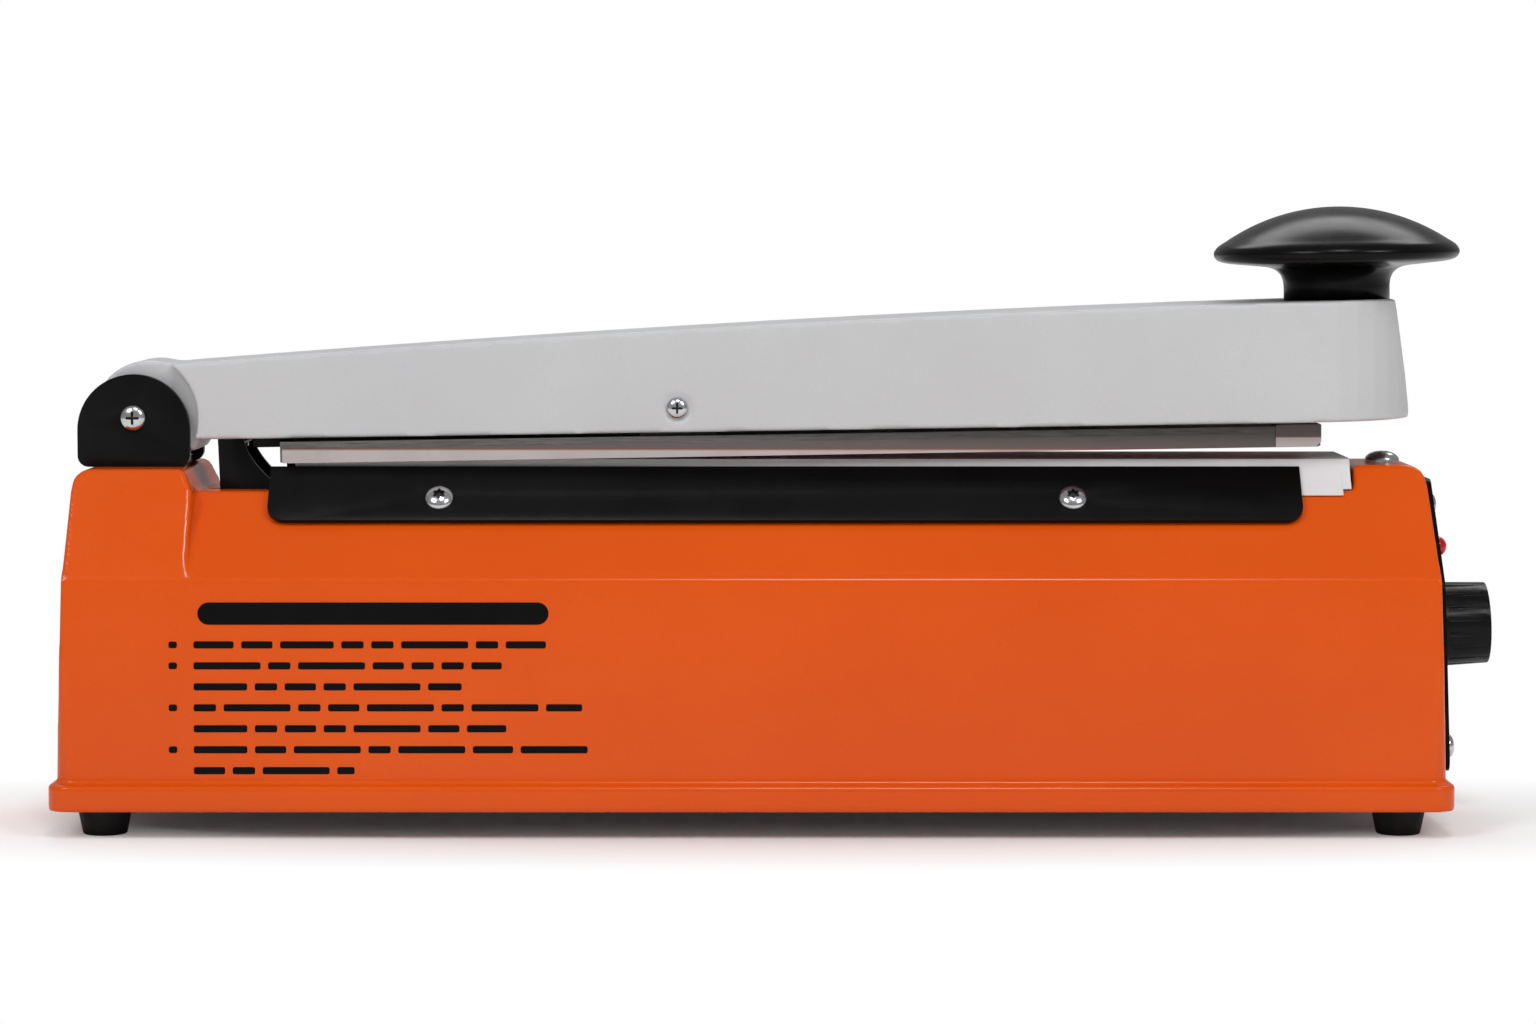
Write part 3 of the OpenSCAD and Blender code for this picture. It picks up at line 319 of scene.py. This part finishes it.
def lathe(name, profile, axis_matrix, count=128):
    """Turns a profile of (radius, height), from the bottom's centre to the top's centre."""
    rings = [[(r * math.cos(2 * math.pi * i / count), r * math.sin(2 * math.pi * i / count), z)
              for i in range(count)] for r, z in profile[1:-1]]
    verts, faces = ring_mesh(rings, (0, 0, profile[0][1]), (0, 0, profile[-1][1]))
    return outward_object(name, [axis_matrix @ Vector(v) for v in verts], faces)


def swept_cloth(name, section, xs, thick_mm):
    """Cloth with a YZ section at each X, as a thin closed sheet."""
    verts, faces = [], []
    rows = [[(x, *p) for p in section(x)] for x in xs]
    n = len(rows[0])
    for row in rows:
        verts += row
    for i in range(len(rows) - 1):
        faces += [(i * n + j, i * n + j + 1, (i + 1) * n + j + 1, (i + 1) * n + j) for j in range(n - 1)]
    obj = outward_object(name, verts, faces)
    thick = obj.modifiers.new("thick", "SOLIDIFY")
    thick.thickness = thick_mm * MM
    thick.offset = 0
    apply_modifiers(obj)
    smooth(obj, 50)
    return obj


# --- Materials ---

def srgb(r, g, b):
    def channel(c):
        c = c / 255
        return c / 12.92 if c <= 0.04045 else ((c + 0.055) / 1.055) ** 2.4
    return (channel(r), channel(g), channel(b), 1)


MATERIALS = {}


class Shader:
    """A material whose colour, roughness and bump come from noise in object space, kept under its name."""

    def __init__(self, name, metallic=0.0, coat=0.0, **sockets):
        MATERIALS[name] = self.material = bpy.data.materials.new(name)
        self.material.use_nodes = True
        self.tree = self.material.node_tree
        self.bsdf = self.tree.nodes["Principled BSDF"]
        self.bsdf.inputs["Metallic"].default_value = metallic
        self.bsdf.inputs["Coat Weight"].default_value = coat
        self.bsdf.inputs["IOR"].default_value = 1.5
        for key, value in sockets.items():
            self.bsdf.inputs[key.replace("_", " ")].default_value = value
        self.space = self.add("ShaderNodeTexCoord").outputs["Object"]

    def add(self, kind, **values):
        node = self.tree.nodes.new(kind)
        for key, value in values.items():
            if key in node.inputs:
                node.inputs[key].default_value = value
            else:
                setattr(node, key, value)
        return node

    def join(self, a, b):
        self.tree.links.new(a, b)

    def stretched(self, scale):
        """Object coordinates stretched along an axis, for brushed or drawn metal."""
        node = self.add("ShaderNodeMapping")
        node.inputs["Scale"].default_value = scale
        self.join(self.space, node.inputs["Vector"])
        return node.outputs["Vector"]

    def noise(self, scale, detail=3.0, vector=None):
        node = self.add("ShaderNodeTexNoise")
        node.inputs["Scale"].default_value = scale
        node.inputs["Detail"].default_value = detail
        node.inputs["Roughness"].default_value = 0.55
        self.join(vector or self.space, node.inputs["Vector"])
        return node.outputs["Fac"]

    def remap(self, value, low, high, to_low=0.0, to_high=1.0):
        node = self.add("ShaderNodeMapRange")
        node.inputs["From Min"].default_value = low
        node.inputs["From Max"].default_value = high
        node.inputs["To Min"].default_value = to_low
        node.inputs["To Max"].default_value = to_high
        self.join(value, node.inputs["Value"])
        return node.outputs["Result"]

    def mix(self, fac, a, b):
        """Colour a where the socket fac is 0 and b where it is 1; each is a colour or a socket."""
        node = self.add("ShaderNodeMix", data_type="RGBA")
        for socket, value in ((node.inputs[6], a), (node.inputs[7], b)):
            if isinstance(value, tuple):
                socket.default_value = value
            else:
                self.join(value, socket)
        self.join(fac, node.inputs[0])
        return node.outputs[2]

    def math(self, operation, a, b=0.0):
        node = self.add("ShaderNodeMath", operation=operation)
        for socket, value in ((node.inputs[0], a), (node.inputs[1], b)):
            if isinstance(value, (int, float)):
                socket.default_value = value
            else:
                self.join(value, socket)
        return node.outputs[0]

    def color(self, socket):
        self.join(socket, self.bsdf.inputs["Base Color"])

    def roughness(self, socket):
        self.join(socket, self.bsdf.inputs["Roughness"])

    def bump(self, height, distance_mm, strength=1.0):
        node = self.add("ShaderNodeBump")
        node.inputs["Strength"].default_value = strength
        node.inputs["Distance"].default_value = distance_mm * MM
        self.join(height, node.inputs["Height"])
        previous = self.bsdf.inputs["Normal"]
        if previous.is_linked:
            self.join(previous.links[0].from_socket, node.inputs["Normal"])
        self.join(node.outputs["Normal"], previous)


def finish_of(name, base, dark, scale, rough=(0.3, 0.45), bump_scale=1800, bump_mm=0.02, **sockets):
    """A general finish: two tones that drift, a roughness that varies, and a fine bump that breaks the gloss."""
    s = Shader(name, **sockets)
    tone = s.remap(s.noise(scale), 0.35, 0.7)
    s.color(s.mix(tone, base, dark))
    s.roughness(s.remap(s.noise(scale * 3, 2.0), 0.3, 0.7, *rough))
    s.bump(s.noise(bump_scale, 2.0), bump_mm, 0.6)


def orange_paint():
    s = Shader("orange_paint", Specular_IOR_Level=0.24)
    drift = s.remap(s.noise(14, 4.0), 0.35, 0.7)
    clean = s.mix(drift, srgb(220, 84, 12), srgb(214, 79, 10))
    specks = s.remap(s.noise(900, 1.0), 0.66, 0.75)
    s.color(s.mix(s.math("MULTIPLY", specks, 0.12), clean, srgb(180, 64, 12)))
    s.roughness(s.remap(s.noise(40, 3.0), 0.3, 0.7, 0.15, 0.22))
    s.bump(s.noise(520, 2.0), 0.03, 0.3)


def arm_grey():
    s = Shader("arm_grey", Specular_IOR_Level=0.35)
    drift = s.remap(s.noise(22, 4.0), 0.35, 0.7)
    base = s.mix(drift, srgb(195, 196, 197), srgb(190, 190, 192))
    specks = s.remap(s.noise(2200, 1.0), 0.55, 0.7)
    s.color(s.mix(s.math("MULTIPLY", specks, 0.12), base, srgb(162, 162, 165)))
    s.roughness(s.remap(s.noise(60, 3.0), 0.3, 0.7, 0.36, 0.48))
    s.bump(s.noise(1500, 2.0), 0.03, 0.4)


def woven_cloth(name, base, shade, thread_mm=0.5, gloss=(0.32, 0.5), painted_top_shade=False):
    """Coated glass cloth: a fine diagonal plain weave under a slippery skin."""
    s = Shader(name, Specular_IOR_Level=0.3)
    waves = []
    for across in ((1, 1, 1), (1, -1, -1)):
        dot = s.add("ShaderNodeVectorMath", operation="DOT_PRODUCT")
        s.join(s.space, dot.inputs[0])
        dot.inputs[1].default_value = across
        phase = s.math("MULTIPLY", dot.outputs["Value"], 2 * math.pi / (thread_mm * MM))
        waves.append(s.remap(s.math("SINE", phase), -1, 1))
    weave = s.math("MULTIPLY", waves[0], waves[1])
    stain = s.remap(s.noise(60, 4.0), 0.45, 0.75, 0.0, 0.5)
    cloth = s.mix(stain, s.mix(weave, base, shade), shade)
    if painted_top_shade:
        # Darker up its sides: painted shade on the cloth's upper part, with the red silicone showing at the edge
        # of the shade.
        height = s.add("ShaderNodeSeparateXYZ")
        s.join(s.add("ShaderNodeTexCoord").outputs["Generated"], height.inputs[0])
        up = height.outputs["Z"]
        cloth = s.mix(s.remap(up, 0.40, 0.46), cloth, srgb(124, 80, 70))
        # srgb(96, 89, 87) is the painted shade over the cloth's upper sides.
        cloth = s.mix(s.remap(up, 0.46, 0.52), cloth, srgb(96, 89, 87))
    s.color(cloth)
    s.roughness(s.remap(s.noise(200, 2.0), 0.3, 0.7, *gloss))
    s.bump(weave, 0.03, 0.5)


def brushed(name, base, dark, axis_scale, rough=(0.25, 0.42), metallic=1.0):
    """Drawn or brushed metal: fine lines along one axis."""
    s = Shader(name, metallic=metallic)
    lines = s.noise(60, 3.0, s.stretched(axis_scale))
    s.color(s.mix(s.remap(lines, 0.3, 0.7), base, dark))
    s.roughness(s.remap(lines, 0.3, 0.7, *rough))
    s.bump(lines, 0.02, 0.4)


def coil_wire():
    s = Shader("coil_varnish", coat=0.4, Coat_Roughness=0.2)
    wave = s.add("ShaderNodeTexWave", wave_type="BANDS", bands_direction="Z")
    wave.inputs["Scale"].default_value = 60
    wave.inputs["Distortion"].default_value = 0.3
    s.join(s.space, wave.inputs["Vector"])
    s.color(s.mix(wave.outputs["Fac"], srgb(120, 66, 18), srgb(196, 128, 58)))
    s.roughness(s.remap(s.noise(300), 0.3, 0.7, 0.25, 0.4))
    s.bump(wave.outputs["Fac"], 0.3, 0.7)


orange_paint()
arm_grey()
brushed("zinc_steel", srgb(214, 214, 216), srgb(186, 186, 189), (6, 6, 60), (0.14, 0.24))
finish_of("foot_rubber", srgb(19, 19, 20), srgb(13, 13, 13), 90, (0.6, 0.8), 900, 0.05,
          Specular_IOR_Level=0.25)
finish_of("black_paint", srgb(14, 14, 15), srgb(10, 10, 11), 50, (0.28, 0.38), 1400, 0.02,
          Specular_IOR_Level=0.12)
brushed("rail_aluminium", srgb(200, 201, 204), srgb(170, 171, 175), (3, 60, 60))
woven_cloth("glass_tape", srgb(214, 196, 150), srgb(170, 150, 105), 0.4)
brushed("element_wire", srgb(150, 148, 146), srgb(110, 104, 100), (4, 60, 60))
brushed("brass", srgb(214, 176, 92), srgb(182, 142, 64), (40, 40, 6))
finish_of("insulator", srgb(228, 222, 206), srgb(208, 200, 182), 70, (0.4, 0.6))
woven_cloth("ptfe_cloth", srgb(224, 221, 222), srgb(196, 193, 194))
# The bar cloth carries painted shade on its upper sides.
woven_cloth("bar_cloth", srgb(190, 181, 179), srgb(152, 143, 142), painted_top_shade=True)
brushed("core_steel", srgb(92, 94, 98), srgb(62, 62, 66), (6, 90, 6), (0.4, 0.6))
coil_wire()
finish_of("dark_plastic", srgb(44, 44, 46), srgb(34, 34, 36), 80, (0.4, 0.55))
brushed("spring_steel", srgb(186, 186, 190), srgb(140, 140, 146), (30, 30, 30))
finish_of("panel_black", srgb(12, 12, 13), srgb(8, 8, 9), 60, (0.3, 0.42), 1500, 0.02,
          Specular_IOR_Level=0.08)
finish_of("red_lens", srgb(205, 12, 18), srgb(160, 6, 11), 160, (0.1, 0.16), 1200, 0.01,
          Emission_Color=srgb(200, 8, 14), Emission_Strength=0.12)
finish_of("board_green", srgb(30, 104, 58), srgb(22, 84, 46), 300, (0.3, 0.45))
finish_of("relay_blue", srgb(38, 84, 164), srgb(30, 70, 140), 80, (0.35, 0.5))
finish_of("capacitor_sleeve", srgb(36, 36, 46), srgb(26, 26, 32), 80)
finish_of("knob_black", srgb(9, 9, 9), srgb(6, 6, 6), 45, (0.2, 0.28), 900, 0.005, Specular_IOR_Level=0.13)
brushed("bar_metal", srgb(116, 112, 111), srgb(86, 83, 82), (3, 60, 60), (0.4, 0.55), 0.6)
finish_of("silicone_red", srgb(176, 74, 48), srgb(150, 58, 38), 60, (0.5, 0.7))
finish_of("dial_black", srgb(11, 11, 12), srgb(7, 7, 8), 120, (0.26, 0.36), 1600, 0.02,
          Specular_IOR_Level=0.16)

for part in frame["record"]["subparts"]:
    node = NODES[part["node"]]
    node.data.materials.clear()
    node.data.materials.append(MATERIALS[part["material_slot"]])
    smooth(node)


# --- Smooth and finely shaped pieces that stand for CAD nodes ---

place(rounded_skin("body_shell", 0.6, 4, 0.12), "base", MATERIALS["orange_paint"],
      ["body_shell"])
place(rounded_skin("press_arm", 0.55, 6, 0.2), "arm", MATERIALS["arm_grey"], ["press_arm"])

for name, edge in (("front_clamp", 0.35), ("rear_clamp", 0.35), ("hinge_bracket", 0.5), ("hook_plate", 0.3),
                   ("press_bar", 0.3), ("control_panel", 0.35), ("timer_knob", 0.25), ("feet", 0.4),
                   ("base_plate", 0.3), ("lamp_holder", 0.2), ("hook_pad", 0.4), ("cord_gland", 0.3)):
    soften(name, edge)

screws("clamp_screws", 2.0, 2.0, lobed_recess, 0.46, 1.3, "base")
screws("block_screw", 2.6, 2.0, lobed_recess, 0.4, 1.6, "base")
screws("hinge_bolt", 1.7, 2.0, cross_recess, 0.52, 1.0, "base")
screws("bar_screw", 1.5, 1.5, cross_recess, 0.52, 0.9, "arm")
screws("panel_screws", 1.6, 1.5, cross_recess, 0.52, 0.9, "base")


def mushroom():
    """The press knob: a ball cap over a rolled rim, and a collar that flares into the underside."""
    points = loose_parts("mushroom_knob")[0]
    tilt = Matrix.Rotation(-math.radians(REST_DEG), 4, "Y").to_3x3()
    up = np.array(tilt @ Vector((0, 0, 1)))
    heights = points @ up
    low, high = heights.min(), heights.max()
    seat = points[heights < low + 0.05 * MM]
    centre = (seat.min(axis=0) + seat.max(axis=0)) / 2
    away = np.linalg.norm(points - centre - ((points - centre) @ up)[:, None] * up, axis=1)
    r, h, collar = away.max(), high - low, away[heights < low + 0.5 * MM].max()
    cap_r, cap_h = 0.9 * r, 0.352 * h
    ball = (cap_r ** 2 + cap_h ** 2) / (2 * cap_h)
    steps = 24
    cap_radii = [cap_r * i / steps for i in range(steps, -1, -1)]
    cap = [(radius, h - ball + math.sqrt(ball ** 2 - radius ** 2)) for radius in cap_radii]
    flare = [(collar, 0.17 * h), (collar + 0.25 * MM, 0.24 * h), (collar + 1.1 * MM, 0.31 * h),
             (collar + 3.2 * MM, 0.365 * h)]
    rim = [(0.7 * r, 0.39 * h), (0.87 * r, 0.412 * h), (0.95 * r, 0.435 * h), (0.985 * r, 0.465 * h),
           (r, 0.51 * h), (0.99 * r, 0.555 * h), (0.957 * r, 0.602 * h)]
    under = arc(flare + rim + [cap[0]], 5)
    profile = [(0, 0), (collar - 0.3 * MM, 0), (collar, 0.3 * MM)] + under[:-1] + cap
    turn = Matrix.Translation(Vector(centre)) @ tilt.to_4x4()
    knob = lathe("mushroom_turned", profile, turn)
    smooth(knob, 50)
    place(knob, "arm", MATERIALS["knob_black"], ["mushroom_knob"])


mushroom()


# --- Cloth ---

def rail_cover():
    """Coated cloth over the rail: rounded at the rail's edges, out over the slope, notched at its far corners."""
    lo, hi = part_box("rail_cloth")
    top, hem, thick = hi.z, lo.z, 0.25 * MM
    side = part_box("lower_rail")[1].y + 0.3 * MM
    out = hi.y - 0.1 * MM
    slope = (SLOPE_FOOT.z - SLOPE_TOP.z) / (SLOPE_FOOT.y - SLOPE_TOP.y)
    bend_z = hem + abs(slope) * (out - side)
    notch, length = 2.0 * MM, hi.x - lo.x

    def section(x):
        end = min(x - lo.x, hi.x - x)
        short = notch if end < notch else 0
        grow = max(0.0, 1 - end / (1.2 * MM)) * 0.15 * MM
        half = [(0, top - 0.2 * MM), (side - 1.6 * MM, top - 0.2 * MM), (side - 0.5 * MM, top - 0.4 * MM),
                (side, top - 1.4 * MM), (side + grow, bend_z + 0.7 * MM), (side + 0.35 * MM, bend_z),
                (out - short * 0.735, hem + short * 0.678)]
        return [(-y, z) for y, z in reversed(half)] + half[1:]

    xs = [lo.x, lo.x + notch * 0.6, lo.x + notch - 0.01 * MM, lo.x + notch]
    xs += [lo.x + notch + (length - 2 * notch) * i / 60 for i in range(1, 60)]
    xs += [hi.x - notch, hi.x - notch + 0.01 * MM, hi.x - notch * 0.6, hi.x]
    cloth = swept_cloth("rail_cover", section, xs, thick / MM)
    place(cloth, "base", MATERIALS["ptfe_cloth"], ["rail_cloth"])


rail_cover()


def bar_wrap():
    """The tape's end wrap at the bar's knob end: over its back, down its sides and under its lips."""
    bar_end, cloth_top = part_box("press_bar")[1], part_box("press_cloth")[1].z
    tilt = math.tan(math.radians(REST_DEG * 0.98))
    end, start = bar_end.x + 0.1 * MM, bar_end.x - 10.2 * MM
    half, lip, clip = bar_end.y + 0.32 * MM, 1.2 * MM, 1.2 * MM
    under_lips, over_back = cloth_top - 3.1 * MM, cloth_top + 1.75 * MM

    def section(x):
        up = (x - end) * tilt
        low, high = under_lips + up, over_back + up
        cut = max(0.0, clip - (end - x)) * 0.9
        side = [(half - lip, low + cut), (half, low + cut), (half, (high + low) / 2), (half, high)]
        return [(-y, z) for y, z in side] + [(y, z) for y, z in reversed(side)]

    xs = [start + (end - clip - start) * i / 14 for i in range(15)] + [end - clip * 0.5, end]
    wrap = swept_cloth("bar_wrap", section, xs, 0.2)
    place(wrap, "bar", MATERIALS["bar_cloth"])


bar_wrap()


# --- Print on the front wall ---

def bar_outline(x0, x1, z0, z1, r, steps=6):
    """A bar with round corners, as points in XZ."""
    r = min(r, (z1 - z0) / 2, (x1 - x0) / 2)
    corners = [(x1 - r, z1 - r, 0), (x0 + r, z1 - r, 90), (x0 + r, z0 + r, 180), (x1 - r, z0 + r, 270)]
    out = []
    for cx, cz, from_deg in corners:
        for i in range(steps + 1):
            turn = math.radians(from_deg + 90 * i / steps)
            out.append((cx + r * math.cos(turn), cz + r * math.sin(turn)))
    return out


PILL_MM, PILL_HALF_MM, PILL_DROP_MM = (0.9, 79.5), 2.5, 7.5
FIRST_ROW_DROP_MM, ROW_PITCH_MM = 14.5, 4.7
ROW_LENGTHS_MM = (79, 69, 60, 87, 70, 91, 36)
NUMBERED_ROWS = (0, 1, 3, 5)
WORD_LENGTHS_MM, WORD_GAP_MM, SHORTEST_WORD_MM = (5, 7, 9, 12, 15), 1.7, 3


def print_block():
    """A black title bar and word-long bars in place of lettering, printed on the lower front wall."""
    rnd = random.Random(7)
    left, text_left = BASE_X - 130.5 * MM, BASE_X - 124.9 * MM
    bars = []

    def add_bar(x0, x1, z, half_mm, corner_mm):
        bars.append((x0, x1, z - half_mm * MM, z + half_mm * MM, corner_mm * MM))

    add_bar(text_left + PILL_MM[0] * MM, text_left + PILL_MM[1] * MM, CREASE.z - PILL_DROP_MM * MM,
            PILL_HALF_MM, PILL_HALF_MM)
    for row, length in enumerate(ROW_LENGTHS_MM):
        z = CREASE.z - (FIRST_ROW_DROP_MM + ROW_PITCH_MM * row) * MM
        if row in NUMBERED_ROWS:
            add_bar(left, left + 1.9 * MM, z, 0.75, 0.5)
        x, end = text_left, text_left + length * MM
        while x < end - SHORTEST_WORD_MM * MM:
            word = min(rnd.choice(WORD_LENGTHS_MM) * MM, end - x)
            add_bar(x, x + word, z, 0.8, 0.45)
            x += word + WORD_GAP_MM * MM
    verts, faces = [], []
    for x0, x1, z0, z1, r in bars:
        outline = bar_outline(x0, x1, z0, z1, r)
        first, n = len(verts), len(outline)
        for lift in (0.01, 0.06):
            verts += [(x, wall_y(z) - lift * MM, z) for x, z in outline]
        faces.append(tuple(range(first + n, first + 2 * n)))
        faces.append(tuple(range(first + n - 1, first - 1, -1)))
        faces += [(first + i, first + (i + 1) % n, first + n + (i + 1) % n, first + n + i) for i in range(n)]
    ink = outward_object("print_bars", verts, faces)
    place(ink, "base", MATERIALS["panel_black"])


print_block()


# --- Floor, lights and camera: lengths in metres, powers in watts ---

FLOOR_HALF_W = 12
FLOOR_ROWS = (-2.6, -0.6, 0.6, 3.0, 14.0)
FADE_SQUEEZE = 0.26
FADE_FROM, FADE_TO = 0.04, 0.082
LAMP_AIM = (0, 0, 0.06)
LAMPS = (("key_left", (-0.8, -1.1, 1.1), (0.45, 0.45), 7.6),
         ("key_right", (0.9, -1.1, 1.0), (0.45, 0.45), 6.4),
         ("front_high", (0.1, -0.95, 1.35), (0.25, 0.25), 5.6),
         ("top", (0.1, 1.0, 1.25), (1.6, 0.5), 10))
WORLD_LIGHT, WORLD_SEEN = 0.3, 1.0
CAMERA_ASIDE, CAMERA_BACK, CAMERA_UP = 0.0037, 0.947, 0.141
CAMERA_PITCH_DEG = 4.05
LENS_MM, SENSOR_MM = 100, 36


def floor():
    verts = [(x, y, 0.0) for y in FLOOR_ROWS for x in (-FLOOR_HALF_W, FLOOR_HALF_W)]
    faces = [(2 * i, 2 * i + 1, 2 * i + 3, 2 * i + 2) for i in range(len(FLOOR_ROWS) - 1)]
    obj = mesh_object("floor", verts, faces)
    s = Shader("floor_white")
    s.color(s.mix(s.remap(s.noise(3.0), 0.4, 0.6), srgb(252, 252, 252), srgb(249, 249, 249)))
    s.bsdf.inputs["Roughness"].default_value = 0.9
    s.bsdf.inputs["Specular IOR Level"].default_value = 0.1
    # To the camera the floor turns into the white background away from the object.
    away = s.add("ShaderNodeVectorMath", operation="LENGTH")
    s.join(s.stretched((FADE_SQUEEZE, 1, 0)), away.inputs[0])
    fade = s.remap(away.outputs["Value"], FADE_FROM, FADE_TO)
    seen = s.math("MULTIPLY", fade, s.add("ShaderNodeLightPath").outputs["Is Camera Ray"])
    white = s.add("ShaderNodeEmission", Color=(1, 1, 1, 1), Strength=1.0)
    blend = s.add("ShaderNodeMixShader")
    s.join(seen, blend.inputs[0])
    s.join(s.bsdf.outputs[0], blend.inputs[1])
    s.join(white.outputs[0], blend.inputs[2])
    s.join(blend.outputs[0], s.tree.nodes["Material Output"].inputs["Surface"])
    obj.data.materials.append(s.material)


def area_light(name, where, size, power):
    light = bpy.data.lights.new(name, "AREA")
    light.shape = "RECTANGLE"
    light.size, light.size_y = size
    light.energy = power
    obj = link(bpy.data.objects.new(name, light))
    obj.location = where
    obj.rotation_euler = (Vector(LAMP_AIM) - Vector(where)).to_track_quat("-Z", "Y").to_euler()


def camera():
    data = bpy.data.cameras.new("camera")
    data.lens, data.sensor_width = LENS_MM, SENSOR_MM
    obj = link(bpy.data.objects.new("camera", data))
    obj.location = (BASE_X + CAMERA_ASIDE, -BASE_HALF_D - CAMERA_BACK, CAMERA_UP)
    obj.rotation_euler = (math.pi / 2 - math.radians(CAMERA_PITCH_DEG), 0, 0)
    data.clip_start, data.clip_end = 0.01, 50
    bpy.context.scene.camera = obj


def world():
    """White to the camera, plainer as a light."""
    w = bpy.data.worlds.new("studio")
    bpy.context.scene.world = w
    w.use_nodes = True
    tree = w.node_tree
    back = tree.nodes["Background"]
    back.inputs["Color"].default_value = (1, 1, 1, 1)
    ray = tree.nodes.new("ShaderNodeLightPath")
    level = tree.nodes.new("ShaderNodeMapRange")
    level.inputs["To Min"].default_value = WORLD_LIGHT
    level.inputs["To Max"].default_value = WORLD_SEEN
    tree.links.new(ray.outputs["Is Camera Ray"], level.inputs["Value"])
    tree.links.new(level.outputs["Result"], back.inputs["Strength"])


bpy.context.scene.view_settings.view_transform = "Standard"
world()
floor()
for lamp in LAMPS:
    area_light(*lamp)
camera()
